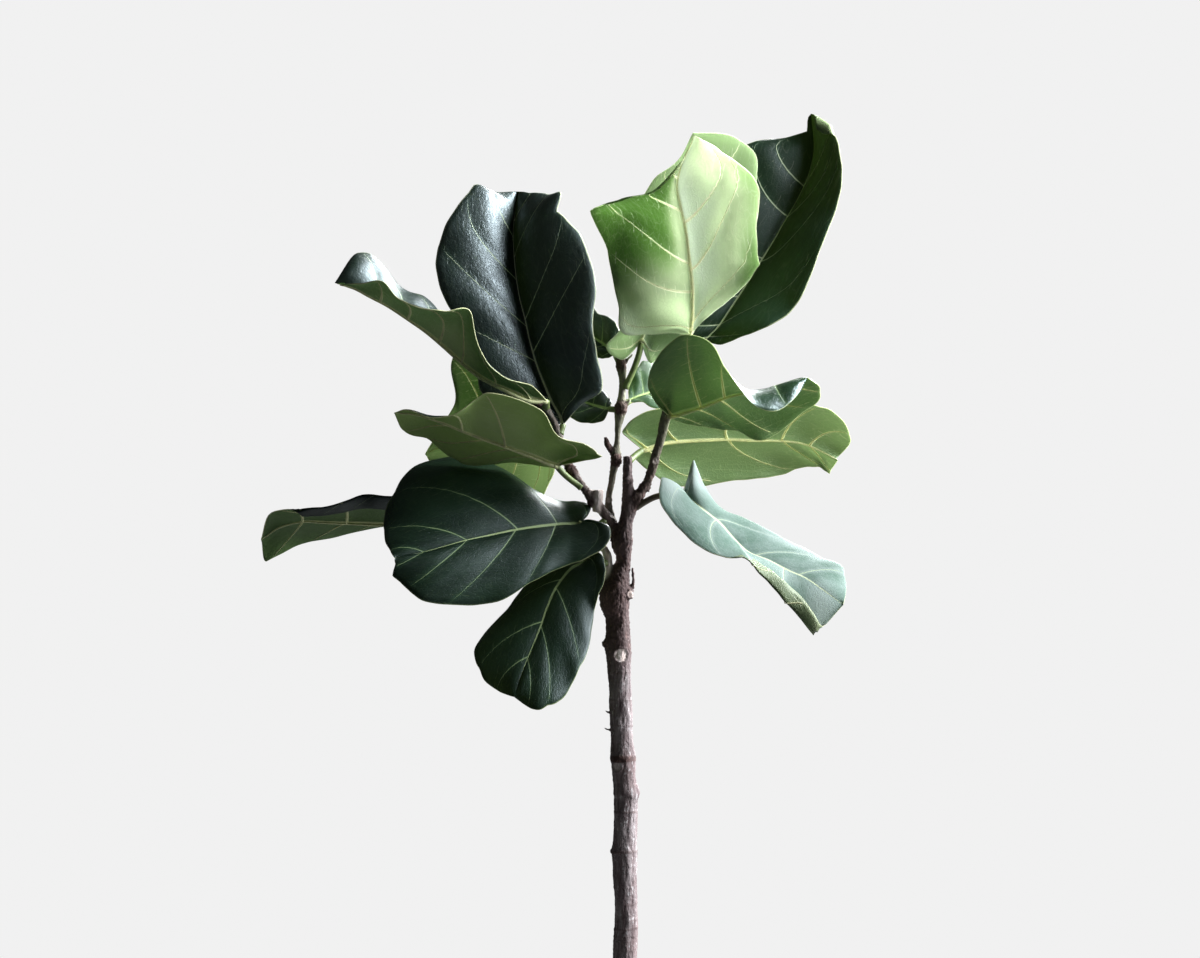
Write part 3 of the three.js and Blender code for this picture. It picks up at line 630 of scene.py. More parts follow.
def bands(start, rings, sides):
    """Faces between rings of vertices that follow one another from start."""
    faces = []
    for ring in range(rings - 1):
        for s in range(sides):
            a = start + ring * sides + s
            b = start + ring * sides + (s + 1) % sides
            faces.append((a, b, b + sides, a + sides))
    return faces


def tube_mesh(points, radii, sides, start):
    """Vertices and faces of a closed round tube, with the faces counted from start."""
    points = np.asarray(points, dtype=float)
    vertices = []
    side = np.array([0.0, 1.0, 0.0])
    for i, point in enumerate(points):
        along = unit(points[min(i + 1, len(points) - 1)] - points[max(i - 1, 0)])
        side = unit(side - along * np.dot(side, along))
        other = np.cross(along, side)
        for s in range(sides):
            angle = 2 * math.pi * s / sides
            vertices.append(point + radii[i] * (side * math.cos(angle) + other * math.sin(angle)))
    last = start + (len(points) - 1) * sides
    faces = bands(start, len(points), sides)
    faces.append(tuple(start + s for s in reversed(range(sides))))
    faces.append(tuple(last + s for s in range(sides)))
    return vertices, faces


def settle(piece, nodes):
    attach(piece, "root")
    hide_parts(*nodes)


# ---- shader helpers ----
class Nodes:
    """The node tree of a material or of the world."""

    def __init__(self, owner):
        self.owner = owner
        owner.use_nodes = True
        self.tree = owner.node_tree
        self.tree.nodes.clear()

    def add(self, kind, values=None, **settings):
        """Adds a node; a value that is a socket is linked, any other is set, a colour with its alpha."""
        made = self.tree.nodes.new("ShaderNode" + kind)
        for key, value in settings.items():
            setattr(made, key, value)
        for key, value in (values or {}).items():
            socket = made.inputs[key]
            if isinstance(value, bpy.types.NodeSocket):
                self.tree.links.new(value, socket)
            elif socket.type == "RGBA":
                socket.default_value = (*value, 1)
            else:
                socket.default_value = value
        return made

    def calc(self, operation, a, b=0.0):
        return self.add("Math", {0: a, 1: b}, operation=operation).outputs[0]

    def times(self, a, b):
        return self.calc("MULTIPLY", a, b)

    def plus(self, a, b):
        return self.calc("ADD", a, b)

    def minus(self, a, b):
        return self.calc("SUBTRACT", a, b)

    def larger(self, a, b):
        return self.calc("MAXIMUM", a, b)

    def apart(self, a, b):
        return self.calc("ABSOLUTE", self.minus(a, b))

    def weigh(self, *terms):
        """The sum of values, each times its weight."""
        total = None
        for value, weight in terms:
            part = value if weight == 1 else self.times(value, weight)
            total = part if total is None else self.plus(total, part)
        return total

    def spread(self, value, low, high, to_low=0.0, to_high=1.0):
        values = {"Value": value, "From Min": low, "From Max": high, "To Min": to_low, "To Max": to_high}
        return self.add("MapRange", values, interpolation_type="SMOOTHSTEP").outputs[0]

    def blend(self, share, a, b):
        return self.add("Mix", {0: share, 6: a, 7: b}, data_type="RGBA").outputs[2]

    def where(self):
        return self.add("NewGeometry").outputs["Position"]

    def stretched(self, vector, stretch):
        return self.add("Mapping", {"Vector": vector, "Scale": stretch}).outputs[0]

    def speckle(self, vector, scale, detail=3.0, rough=0.55, stretch=None):
        if stretch:
            vector = self.stretched(vector, stretch)
        values = {"Vector": vector, "Scale": scale, "Detail": detail, "Roughness": rough}
        return self.add("TexNoise", values).outputs[0]

    def net(self, vector, scale, width):
        """Thin lines between cells: 1 on a line, 0 inside a cell."""
        values = {"Vector": vector, "Scale": scale, "Randomness": 0.85}
        cells = self.add("TexVoronoi", values, feature="DISTANCE_TO_EDGE")
        return self.spread(cells.outputs["Distance"], 0.0, width, 1.0, 0.0)

    def surface(self, colour, rough, shine=0.5):
        values = {"Base Color": colour, "Roughness": rough, "Specular IOR Level": shine}
        return self.add("BsdfPrincipled", values)

    def mix(self, share, a, b):
        return self.add("MixShader", {0: share, 1: a.outputs[0], 2: b.outputs[0]})

    def finish(self, shader, height, strength, distance):
        """Plugs the shader in, with a bump from the height, and returns the material."""
        bump = self.add("Bump", {"Height": height, "Strength": strength, "Distance": distance})
        for made in self.tree.nodes:
            if made.type in {"BSDF_PRINCIPLED", "BSDF_TRANSLUCENT"}:
                self.tree.links.new(bump.outputs[0], made.inputs["Normal"])
        self.add("OutputMaterial", {"Surface": shader.outputs[0]})
        return self.owner


def new_material(name):
    return Nodes(bpy.data.materials.new(name))


# ---- leaf materials ----
# A leaf carries two UV maps: "vein" holds the count of side veins passed and the distance from one to the
# next, "blade" the distance from the midrib and along it, both in metres. The attribute "place" holds the
# reach from midrib to margin, the share of the way to the tip, and the blade's painted light and shade:
# painted light above 0.5, painted shade below.
def blade_masks(mat):
    vein = mat.add("SeparateXYZ", {0: mat.add("UVMap", uv_map="vein").outputs[0]}).outputs
    blade = mat.add("UVMap", uv_map="blade").outputs[0]
    off_midrib = mat.add("SeparateXYZ", {0: blade}).outputs[0]
    place = mat.add("Attribute", attribute_name="place").outputs["Color"]
    place = mat.add("SeparateColor", {0: place}).outputs
    to_nearest = mat.apart(vein[0], mat.calc("ROUND", vein[0]))
    return {
        "side": mat.times(to_nearest, vein[1]),
        "count": vein[0],
        "mid": mat.calc("ABSOLUTE", off_midrib),
        "off": off_midrib,
        "reach": place[0],
        "along": place[1],
        # painted light and painted shade
        "tone": place[2],
        "blade": blade,
    }


def vein_lines(mat, masks, mid_width, side_width):
    """1 on the midrib and on the side veins, which thin out towards tip and margin."""
    mid_edge = mat.times(mat.minus(1.15, masks["along"]), mid_width)
    mid = mat.spread(mat.calc("DIVIDE", masks["mid"], mid_edge), 0.65, 1.25, 1.0, 0.0)
    side_edge = mat.times(mat.minus(1.2, masks["reach"]), side_width)
    side = mat.spread(mat.calc("DIVIDE", masks["side"], side_edge), 0.5, 1.3, 1.0, 0.0)
    fade = mat.spread(masks["reach"], 0.88, 0.98, 1.0, 0.0)
    return mid, mat.times(side, fade)


def cross_veins(mat, masks, width):
    """Short ticks that leave the side veins, over a faint ladder from one side vein to the next."""
    drift = mat.speckle(masks["blade"], 45.0, 2.0)
    row = mat.times(mat.calc("ROUND", masks["count"]), 0.37)
    turn = mat.plus(mat.times(masks["off"], 105.0), mat.plus(drift, row))
    line = mat.spread(mat.apart(mat.calc("FRACT", turn), 0.5), 0.0, width, 1.0, 0.0)
    length = mat.spread(mat.speckle(masks["blade"], 130.0, 1.0), 0.35, 0.7, 0.002, 0.013)
    ticks = mat.times(line, mat.calc("LESS_THAN", masks["side"], length))
    rungs = mat.times(masks["off"], 190.0)
    grid = mat.add("CombineXYZ", {0: rungs, 1: mat.times(masks["count"], 3.1)})
    ladder = mat.net(grid.outputs[0], 1.0, width * 0.8)
    return mat.larger(ticks, mat.times(ladder, 0.22))


def in_shade(colour):
    """A green made darker and deeper, as painted shade."""
    return (colour[0] * 0.16, colour[1] * 0.27, colour[2] * 0.09)


def dim(colour, share):
    return tuple(channel * share for channel in colour)


def with_painted_light_and_shade(mat, masks, colour, dark, pale):
    """The colour of the blade with its painted shade, darker, and its painted light, paler."""
    colour = mat.blend(mat.spread(masks["tone"], 0.0, 0.5, 0.85, 0.0), colour, dark)
    return mat.blend(mat.spread(masks["tone"], 0.5, 1.0, 0.0, 0.8), colour, pale)


def glow_colour(mat, masks, look):
    """The colour of the light that comes through between the veins, with the blade's painted light and shade
    on it.
    """
    return with_painted_light_and_shade(mat, masks, dim(look["glow"], 0.7), in_shade(look["glow"]), look["glow"])


def glow_through(mat, glow, look, side, cross):
    """Light through the blade, clearer where a vein runs."""
    clear = mat.blend(mat.larger(side, mat.times(cross, 0.6)), glow, look["clear"])
    return mat.add("BsdfTranslucent", {"Color": clear})


def upper_material(kind, look):
    mat = new_material("leaf_upper_" + kind)
    masks = blade_masks(mat)
    mid, side = vein_lines(mat, masks, 0.0018, 0.0008)
    cross = cross_veins(mat, masks, 0.05)
    fine = mat.net(masks["blade"], 240.0, 0.1)
    cloud = mat.speckle(masks["blade"], 28.0, 4.0)
    crease = mat.speckle(masks["blade"], 230.0, 3.0, 0.6, (1.0, 0.7, 1.0))
    green = mat.blend(mat.spread(cloud, 0.3, 0.72), look["deep"], look["green"])
    green = mat.blend(mat.spread(masks["side"], 0.0006, 0.006, 0.3, 0.0), green, look["pale"])
    # painted shade in a darker deep green, painted light in the pale green, where the notes say
    green = with_painted_light_and_shade(mat, masks, green, dim(look["deep"], 0.6), look["pale"])
    # a pale line along the margin: partly the edge's own paler colour, partly a painted highlight where it
    # catches light
    margin = mat.spread(masks["reach"], 0.985, 1.0)
    for share, colour in (
        (mat.times(fine, 0.12), "pale"), (mat.times(cross, 0.18), "line"), (mat.times(side, 0.95), "line"),
        (mid, "midrib"), (mat.times(margin, 0.6), "line"),
    ):
        green = mat.blend(share, green, look[colour])
    patches = mat.speckle(masks["blade"], 60.0, 3.0)
    rough = mat.spread(patches, 0.25, 0.75, look["gloss"], look["gloss"] + 0.12)
    surface = mat.surface(green, mat.plus(rough, mat.times(side, 0.15)), look["shine"])
    surface.inputs["Specular Tint"].default_value = (0.78, 0.92, 1.0, 1)
    through = glow_through(mat, glow_colour(mat, masks, look), look, side, cross)
    shader = mat.mix(look.get("entry", look["thin"]), surface, through)
    relief = mat.weigh((cross, -0.2), (fine, -0.12), (side, -0.3), (crease, look["shine"]), (cloud, 0.9))
    return mat.finish(shader, relief, 0.6, 0.0009)


def under_material(kind, look):
    mat = new_material("leaf_under_" + kind)
    masks = blade_masks(mat)
    mid, side = vein_lines(mat, masks, 0.0024, 0.0014)
    cross = cross_veins(mat, masks, 0.055)
    fine = mat.net(masks["blade"], 240.0, 0.12)
    cloud = mat.speckle(masks["blade"], 24.0, 4.0)
    grain = mat.speckle(masks["blade"], 500.0, 2.0)
    green = mat.blend(mat.spread(cloud, 0.3, 0.72), dim(look["under"], 0.78), look["under"])
    near = mat.spread(masks["side"], 0.0005, 0.005, 0.2, 0.0)
    for share in (near, mat.times(fine, 0.12), mat.times(cross, 0.5)):
        green = mat.blend(share, green, look["vein"])
    # painted shade in a darker under colour, painted light in the "light" colour, where the notes say
    green = with_painted_light_and_shade(mat, masks, green, in_shade(look["under"]), look["light"])
    for line in (side, mid):
        green = mat.blend(mat.times(line, 0.85), green, look["rib"])
    surface = mat.surface(green, mat.spread(grain, 0.25, 0.75, 0.48, 0.62), 0.4)
    glow = glow_colour(mat, masks, look)
    glow = mat.blend(mat.times(fine, 0.2), glow, dim(look["glow"], 0.5))
    through = glow_through(mat, glow, look, side, cross)
    thin = mat.plus(mat.times(mat.larger(side, mid), look["thin"] * 0.1), look["thin"])
    relief = mat.weigh((fine, 0.2), (cross, 0.6), (side, 0.6), (grain, 0.2), (cloud, 0.8))
    return mat.finish(mat.mix(thin, surface, through), relief, 0.6, 0.0009)


def rib_material(kind, look):
    mat = new_material("leaf_rib_" + kind)
    where = mat.where()
    streak = mat.speckle(where, 160.0, 3.0)
    dots = mat.speckle(where, 900.0, 2.0)
    cream = mat.blend(mat.spread(streak, 0.3, 0.7), dim(look["rib"], 0.72), look["rib"])
    cream = mat.blend(mat.spread(dots, 0.62, 0.75, 0.0, 0.3), cream, dim(look["rib"], 0.45))
    clear = mat.add("BsdfTransparent", {"Color": look["clear"]})
    return mat.finish(mat.mix(look["see"], mat.surface(cream, 0.5), clear), dots, 0.25, 0.0005)


def petiole_material(kind, young, old):
    mat = new_material("petiole_" + kind)
    where = mat.where()
    streak = mat.speckle(where, 120.0, 4.0)
    dots = mat.speckle(where, 700.0, 2.0)
    green = mat.blend(mat.spread(streak, 0.3, 0.7), dim(young, 0.65), young)
    green = mat.blend(mat.spread(dots, 0.6, 0.72, 0.0, 0.6), green, old)
    return mat.finish(mat.surface(green, 0.45), streak, 0.35, 0.0012)


# Leaves by age: an old leaf is thick and dark, a fresh one thin and bright. The pale bluish-white upper
# side of leaf_j's look is painted sheen. An underside takes the "light" colour as painted light, and a
# darker form of "under" as painted shade, where the notes say.
LOOKS = {
  "old": {
    "deep": (0.003, 0.009, 0.005), "green": (0.007, 0.018, 0.010), "pale": (0.02, 0.05, 0.025),
    "line": (0.17, 0.24, 0.11), "midrib": (0.27, 0.34, 0.16), "gloss": 0.36, "shine": 0.3,
    "under": (0.07, 0.115, 0.042), "vein": (0.17, 0.24, 0.09), "rib": (0.34, 0.37, 0.17),
    "glow": (0.5, 0.7, 0.25), "clear": (0.9, 0.9, 0.6), "thin": 0.1, "see": 0.15, "light": (0.2, 0.27, 0.12),
  },
  "glossy": {
    "deep": (0.002, 0.007, 0.004), "green": (0.005, 0.015, 0.009), "pale": (0.02, 0.045, 0.02),
    # pale veins and midrib, made paler still as painted light for the shaded half of the blade
    "line": (0.5, 0.58, 0.37), "midrib": (0.78, 0.84, 0.54), "gloss": 0.38, "shine": 0.95,
    "under": (0.065, 0.105, 0.038), "vein": (0.16, 0.22, 0.09), "rib": (0.34, 0.36, 0.17),
    "glow": (0.5, 0.7, 0.25), "clear": (0.9, 0.9, 0.6), "thin": 0.05, "see": 0.1, "light": (0.16, 0.22, 0.1),
  },
  "mid": {
    "deep": (0.004, 0.016, 0.008), "green": (0.012, 0.036, 0.016), "pale": (0.04, 0.09, 0.03),
    "line": (0.22, 0.32, 0.15), "midrib": (0.32, 0.42, 0.18), "gloss": 0.25, "shine": 0.8,
    "under": (0.095, 0.19, 0.055), "vein": (0.36, 0.48, 0.18), "rib": (0.8, 0.84, 0.45),
    "glow": (0.6, 0.85, 0.4), "clear": (1.0, 1.0, 0.7), "thin": 0.2, "see": 0.55, "light": (0.2, 0.3, 0.12),
  },
  "light": {
    "deep": (0.012, 0.04, 0.012), "green": (0.025, 0.07, 0.02), "pale": (0.06, 0.12, 0.04),
    "line": (0.2, 0.3, 0.12), "midrib": (0.3, 0.4, 0.15), "gloss": 0.34, "shine": 0.4,
    "under": (0.135, 0.235, 0.08), "vein": (0.45, 0.56, 0.24), "rib": (0.9, 0.9, 0.52),
    "glow": (0.72, 0.9, 0.5), "clear": (1.0, 1.0, 0.75),
    "thin": 0.28, "see": 0.6, "light": (0.26, 0.36, 0.15),
  },
  "fresh": {
    "deep": (0.02, 0.055, 0.018), "green": (0.04, 0.09, 0.03), "pale": (0.08, 0.15, 0.06),
    "line": (0.25, 0.34, 0.16), "midrib": (0.34, 0.42, 0.2), "gloss": 0.32, "shine": 0.55,
    "under": (0.3, 0.44, 0.21), "vein": (0.82, 0.9, 0.7), "rib": (0.92, 0.92, 0.68),
    "glow": (0.84, 1.0, 0.68), "clear": (1.0, 1.0, 0.9),
    "thin": 0.56, "see": 0.95, "light": (0.6, 0.72, 0.48),
  },
  # pale bluish-white upper side: painted sheen
  "sheen_painted": {
    "deep": (0.07, 0.118, 0.093), "green": (0.15, 0.2, 0.182), "pale": (0.31, 0.36, 0.35),
    "line": (0.3, 0.37, 0.26), "midrib": (0.42, 0.47, 0.32), "gloss": 0.68, "shine": 0.1,
    "under": (0.08, 0.12, 0.05), "vein": (0.3, 0.34, 0.17), "rib": (0.5, 0.5, 0.3),
    "glow": (0.6, 0.8, 0.5), "clear": (0.9, 0.95, 0.7), "thin": 0.16, "see": 0.3,
    "light": (0.3, 0.34, 0.2),
  },
}
# Leaf d: an old leaf with less shine and paler vein lines and midrib, partly their own colour, partly painted
# light for the shade they lie in.
LOOKS["upright"] = {**LOOKS["old"], "shine": 0.16, "line": (0.42, 0.5, 0.3), "midrib": (0.5, 0.56, 0.32)}
# Paler vein, rib and "light" colours for undersides that lie in shade, as painted light.
PAINTED_LIGHT_BENEATH = {"vein": (0.42, 0.52, 0.22), "rib": (0.75, 0.78, 0.42), "light": (0.5, 0.62, 0.3)}
# Leaf c: thinner and brighter than a fresh leaf; its near-white "light" is painted light: the bright band
# beside the midrib and the glowing lower left.
LOOKS["sheer"] = {
    **LOOKS["fresh"], "thin": 0.6, "entry": 0.92, "see": 0.85, "under": (0.36, 0.54, 0.24),
    "light": (0.86, 0.97, 0.76), "vein": (0.98, 0.97, 0.7), "rib": (1.0, 0.95, 0.64),
    "glow": (0.9, 1.0, 0.74),
}
LOOKS["small"] = {**LOOKS["light"], "gloss": 0.5, "shine": 0.15}
# Undersides seen in shade: "under" made brighter than an old leaf's, as painted light.
LOOKS["olive"] = {**LOOKS["old"], **PAINTED_LIGHT_BENEATH, "under": (0.42, 0.6, 0.2), "thin": 0.17}
LOOKS["dusky"] = {**LOOKS["old"], **PAINTED_LIGHT_BENEATH, "under": (0.21, 0.32, 0.11)}
LOOKS["curled"] = {**LOOKS["glossy"], **PAINTED_LIGHT_BENEATH, "under": (0.21, 0.4, 0.125), "thin": 0.08}
AGES = {
    "leaf_a": "curled", "leaf_b": "glossy", "leaf_c": "sheer", "leaf_d": "upright", "leaf_e": "olive",
    "leaf_h": "dusky", "leaf_i": "mid", "leaf_j": "sheen_painted", "leaf_k": "light", "leaf_l": "fresh",
    "leaf_m": "small", "leaf_p": "light",
}
BROWN_STALKS = {"leaf_i", "leaf_j"}


# ---- leaf shapes ----
class Leaf:
    """A blade between three rails: left margin, midrib and right margin, from base to tip."""

    def __init__(self, name):
        form = LEAVES[name]
        self.face = form["face"]
        self.rows = len(form["mid"]) + 1
        base, tip = form["petiole"][0], form["tip"]
        self.rails = {side: [seen(p) for p in [base, *form[side], tip]] for side in ("left", "mid", "right")}
        self.petiole = [seen(p) for p in form["petiole"]]
        self.veins = dict(zip(("left", "right"), VEINS.get(name, USUAL_VEINS)))
        self.notes = MARGIN_NOTES.get(name, [])
        self.turned = TURNED_EDGES.get(name, [])
        # notes of painted light and painted shade
        self.tones = PAINTED_LIGHT_AND_SHADE_NOTES.get(name, [])
        self.swell = FLATNESS.get(name, 1.0)

    def tone(self, side, at, reach):
        """The painted light (above 0.5) and painted shade (below 0.5) on the blade: 0.5 where nothing is
        noted.
        """
        across = -reach if side == "left" else reach
        tone = np.zeros(np.broadcast(at, reach).shape)
        for row, place, rows, half, amount in self.tones:
            tone = tone + amount * np.exp(-(((at - row) / rows) ** 2) - ((across - place) / half) ** 2)
        return np.clip(0.5 + 0.5 * tone, 0, 1)

    def margin_shift(self, side, at):
        """How far the margin stands out: scallops between the side veins, and the noted points."""
        count = self.vein_count(side, at, np.ones_like(at))
        ends = np.clip(np.minimum(at, self.rows - at), 0, 1)
        shift = SCALLOP * (np.abs(np.sin(math.pi * count)) - 0.5) * ends
        shift += MARGIN_WOBBLE * np.sin(5.3 * at + 1.3) * np.sin(2.9 * at) * ends
        for where, row, half, out in self.notes:
            if where == side:
                shift += out * np.clip(1 - np.abs(at - row) / half, 0, 1) ** NOTE_SHARPNESS
        return shift

    def vein_count(self, side, at, reach):
        """How many side veins lie between the base and this place."""
        at, reach = np.broadcast_arrays(at, reach)
        starts, ends = np.array(self.veins[side]).T
        lines = starts + (ends - starts) * reach[..., None] ** VEIN_BEND
        first = np.minimum(-BEYOND_ENDS, lines[..., :1] - BEYOND_VEINS)
        last = np.maximum(lines[..., -1:] + BEYOND_VEINS, self.rows + BEYOND_ENDS)
        lines = np.concatenate([first, lines, last], axis=-1)
        gaps = np.maximum(lines[..., 1:] - lines[..., :-1], CLOSEST_VEINS)
        return np.clip((at[..., None] - lines[..., :-1]) / gaps, 0, 1).sum(axis=-1)

    def turn_edge(self, side, at, whole):
        """The reach up to the keel, the share of the way past it, and the turn inward and to the eye."""
        reach, past, inward, forward = whole, np.zeros_like(at), 0.0, 0.0
        for where, first, last, keel, in_here, forward_here in self.turned:
            if where == side:
                start = smooth_step(at, first, first + TURN_IN_ROWS)
                amount = start * (1 - smooth_step(at, last - TURN_OUT_ROWS, last))
                reach = np.minimum(whole / (1 - amount * (1 - keel)), 1.0)
                past = np.clip((whole - 1 + amount * (1 - keel)) / (1 - keel), 0, 1)
                past = np.where(amount > 0, past, 0.0)
                inward, forward = in_here, forward_here
        return reach, past, inward, forward

    def lift(self, side, at, reach, width, room):
        """How far the blade rises: its bow, its swell between side veins and the midrib's groove."""
        bow = CAMBER * width * 4 * reach * (1 - reach)
        count = self.vein_count(side, at, reach)
        swell = np.abs(np.sin(math.pi * count)) ** 0.8 * np.sin(math.pi * reach**0.8) ** 0.7
        groove = np.exp(-((reach * width / GROOVE_WIDTH) ** 2))
        return bow + room * (QUILT * swell - GROOVE * groove)

    def at(self, side, at, reach):
        """The middle surface of the blade, and the width of this half."""
        at, reach = np.broadcast_arrays(np.asarray(at, dtype=float), np.asarray(reach, dtype=float))
        mid = spline(self.rails["mid"], at)
        edge = spline(self.rails[side], at)
        out = unit(edge - mid)
        edge = edge + out * self.margin_shift(side, at)[..., None]
        reach, past, inward, forward = self.turn_edge(side, at, reach)
        ahead = spline(self.rails["mid"], at + AHEAD_ROWS) - spline(self.rails["mid"], at - AHEAD_ROWS)
        across = (mid - edge) if side == "left" else (edge - mid)
        width = np.linalg.norm(across, axis=-1)
        room = np.minimum(width / FULL_SWELL_WIDTH, 1)
        upward = unit(np.cross(ahead, across)) * self.face
        share = reach[..., None]
        point = mid * (1 - share) + edge * share
        point = point + upward * self.lift(side, at, reach, width, room)[..., None] * self.swell
        phase = 0 if side == "left" else 1
        wave = RIPPLE * reach**2 * np.sin(RIPPLE_STEP * (at - 1) + phase)
        fine = FINE_RIPPLE * room * reach**4 * np.sin(FINE_RIPPLE_STEP * at + FINE_RIPPLE_PHASE * phase)
        point[..., 1] += wave + fine
        point -= out * (inward * past**TURN_POWER)[..., None]
        point[..., 1] -= forward * np.sin(past * math.pi / 2)
        return point, width

    def normal(self, side, at, reach):
        at, reach = np.broadcast_arrays(np.asarray(at, dtype=float), np.asarray(reach, dtype=float))
        low, high = np.maximum(at - NORMAL_ROWS, 0), np.minimum(at + NORMAL_ROWS, self.rows)
        ahead = self.at(side, high, reach)[0] - self.at(side, low, reach)[0]
        inner, outer = np.maximum(reach - NORMAL_REACH, 0.0), np.minimum(reach + NORMAL_REACH, 1.0)
        across = self.at(side, at, outer)[0] - self.at(side, at, inner)[0]
        across = -across if side == "left" else across
        return unit(np.cross(ahead, across)) * self.face


def blade_grid(leaf):
    """Points, normals and shader coordinates of both halves, from midrib to margin."""
    at = np.linspace(0, leaf.rows, leaf.rows * ROW_STEPS + 1)[:, None]
    reach = (np.linspace(0, 1, HALF_STEPS + 1) ** COLUMN_POWER)[None, :]
    inside = np.clip(at, END_ROWS, leaf.rows - END_ROWS)
    halves = {}
    for side in ("left", "right"):
        point, width = leaf.at(side, at, reach)
        passed = leaf.vein_count(side, at, reach)
        length = np.linalg.norm(np.gradient(point, axis=0), axis=-1)
        gap = length / np.maximum(np.gradient(passed, axis=0), LEAST_COUNT)
        halves[side] = {
            "point": point,
            "normal": leaf.normal(side, inside, np.maximum(reach, LEAST_REACH)),
            "width": width,
            "passed": passed,
            "gap": np.clip(gap, *VEIN_GAP),
            "reach": reach,
            # painted light and painted shade
            "tone": leaf.tone(side, at, reach),
        }
    return halves


def join(halves, key):
    """One grid from the left margin to the right margin."""
    return np.concatenate([halves["left"][key][:, ::-1], halves["right"][key][:, 1:]], axis=1)


def blade_sheets(halves):
    """Vertices of the upper sheet and of the under sheet."""
    middle, normal = join(halves, "point"), join(halves, "normal")
    normal[:, HALF_STEPS] = unit(halves["left"]["normal"][:, 0] + halves["right"]["normal"][:, 0])
    normal[0], normal[-1] = unit(normal[1].mean(axis=0)), unit(normal[-2].mean(axis=0))
    upper = middle + normal * THICKNESS / 2
    lower = middle - normal * THICKNESS / 2
    return [*upper.reshape(-1, 3), *lower.reshape(-1, 3)]


def blade_mesh(leaf, halves):
    """Vertices, and for each face its ring of vertices, its material and its side of the midrib."""
    vertices, faces = blade_sheets(halves), []
    half = len(vertices) // 2
    rows = half // COLUMNS
    for row in range(rows - 1):
        for column in range(COLUMNS - 1):
            a, b = row * COLUMNS + column, (row + 1) * COLUMNS + column
            ring = [a, b, b + 1, a + 1]
            side = "left" if column < HALF_STEPS else "right"
            if leaf.face > 0:
                ring.reverse()
            faces.append((ring[::-1], UPPER, side))
            faces.append(([v + half for v in ring], UNDER, side))
    for column, side in ((0, "left"), (COLUMNS - 1, "right")):
        edge_point = halves[side]["point"][:, -1]
        outward = unit(edge_point - halves[side]["point"][:, -2]) * MARGIN_ROUND
        outward[[0, -1]] = 0
        start = len(vertices)
        vertices.extend(edge_point + outward)
        for row in range(rows - 1):
            a, b, c = row * COLUMNS + column, (row + 1) * COLUMNS + column, start + row
            for ring in ([a, c, c + 1, b], [c, a + half, b + half, c + 1]):
                if (side == "right") == (leaf.face > 0):
                    ring.reverse()
                faces.append((ring, MARGIN, side))
    return vertices, faces


def fill_coordinates(mesh, faces, halves):
    """The two UV maps and the colour attribute that the leaf materials read."""
    vein = mesh.uv_layers.new(name="vein")
    blade = mesh.uv_layers.new(name="blade")
    place = mesh.color_attributes.new("place", "FLOAT_COLOR", "POINT")
    midrib = halves["left"]["point"][:, 0]
    along = np.concatenate([[0], np.cumsum(np.linalg.norm(np.diff(midrib, axis=0), axis=-1))])
    rows = len(midrib)
    sheet = rows * COLUMNS
    share = np.zeros((len(mesh.vertices), 4))
    share[:, 3] = 1
    vein_uv, blade_uv = [], []
    for ring, _, side in faces:
        half = halves[side]
        sign, margin = (-1, 0) if side == "left" else (1, COLUMNS - 1)
        for vertex in ring:
            if vertex < 2 * sheet:
                row, column = divmod(vertex % sheet, COLUMNS)
            else:
                row, column = (vertex - 2 * sheet) % rows, margin
            k = abs(column - HALF_STEPS)
            reach = half["reach"][0, k]
            vein_uv.extend((half["passed"][row, k], half["gap"][row, k] * MM))
            blade_uv.extend((sign * reach * half["width"][row, 0] * MM, along[row] * MM))
            # the third channel carries the painted light and painted shade
            share[vertex, :3] = reach, along[row] / along[-1], half["tone"][row, k]
    vein.data.foreach_set("uv", vein_uv)
    blade.data.foreach_set("uv", blade_uv)
    place.data.foreach_set("color", share.reshape(-1))


def merge_doubles(mesh):
    clean = bmesh.new()
    clean.from_mesh(mesh)
    bmesh.ops.remove_doubles(clean, verts=clean.verts, dist=MERGE)
    bmesh.ops.dissolve_degenerate(clean, edges=clean.edges, dist=MERGE / 2)
    clean.to_mesh(mesh)
    clean.free()


def stalk_and_midrib(leaf):
    """One tube over petiole and midrib: points, radii, sides, and how many of its bands are petiole."""
    steps = PETIOLE_STEPS * (len(leaf.petiole) - 1)
    stalk = spline(leaf.petiole, np.linspace(0, len(leaf.petiole) - 1, steps + 1))[::-1]
    swell = 1 + PETIOLE_SWELL * np.exp(-np.arange(len(stalk)) / PETIOLE_SWELL_STEPS)
    rows = np.linspace(MIDRIB_ROWS[0], leaf.rows * MIDRIB_ROWS[1], ROW_STEPS * leaf.rows)
    middle = leaf.at("right", rows, 0.0)[0]
    down = -unit(leaf.normal("left", rows, MIDRIB_REACH) + leaf.normal("right", rows, MIDRIB_REACH))
    radii = MIDRIB_RADIUS + (MIDRIB_TIP_RADIUS - MIDRIB_RADIUS) * (rows / leaf.rows) ** MIDRIB_TAPER
    rib = middle + down * (THICKNESS / 2 + MIDRIB_OUT * radii - MIDRIB_SUNK)[:, None]
    points = np.vstack([stalk[:-1], rib[:1] * 0.5 + stalk[-1:] * 0.5, rib])
    radii = [*(PETIOLE_RADIUS * swell)[:-1], (PETIOLE_RADIUS + MIDRIB_RADIUS) / 2, *radii]
    return points, radii, MIDRIB_SIDES, steps


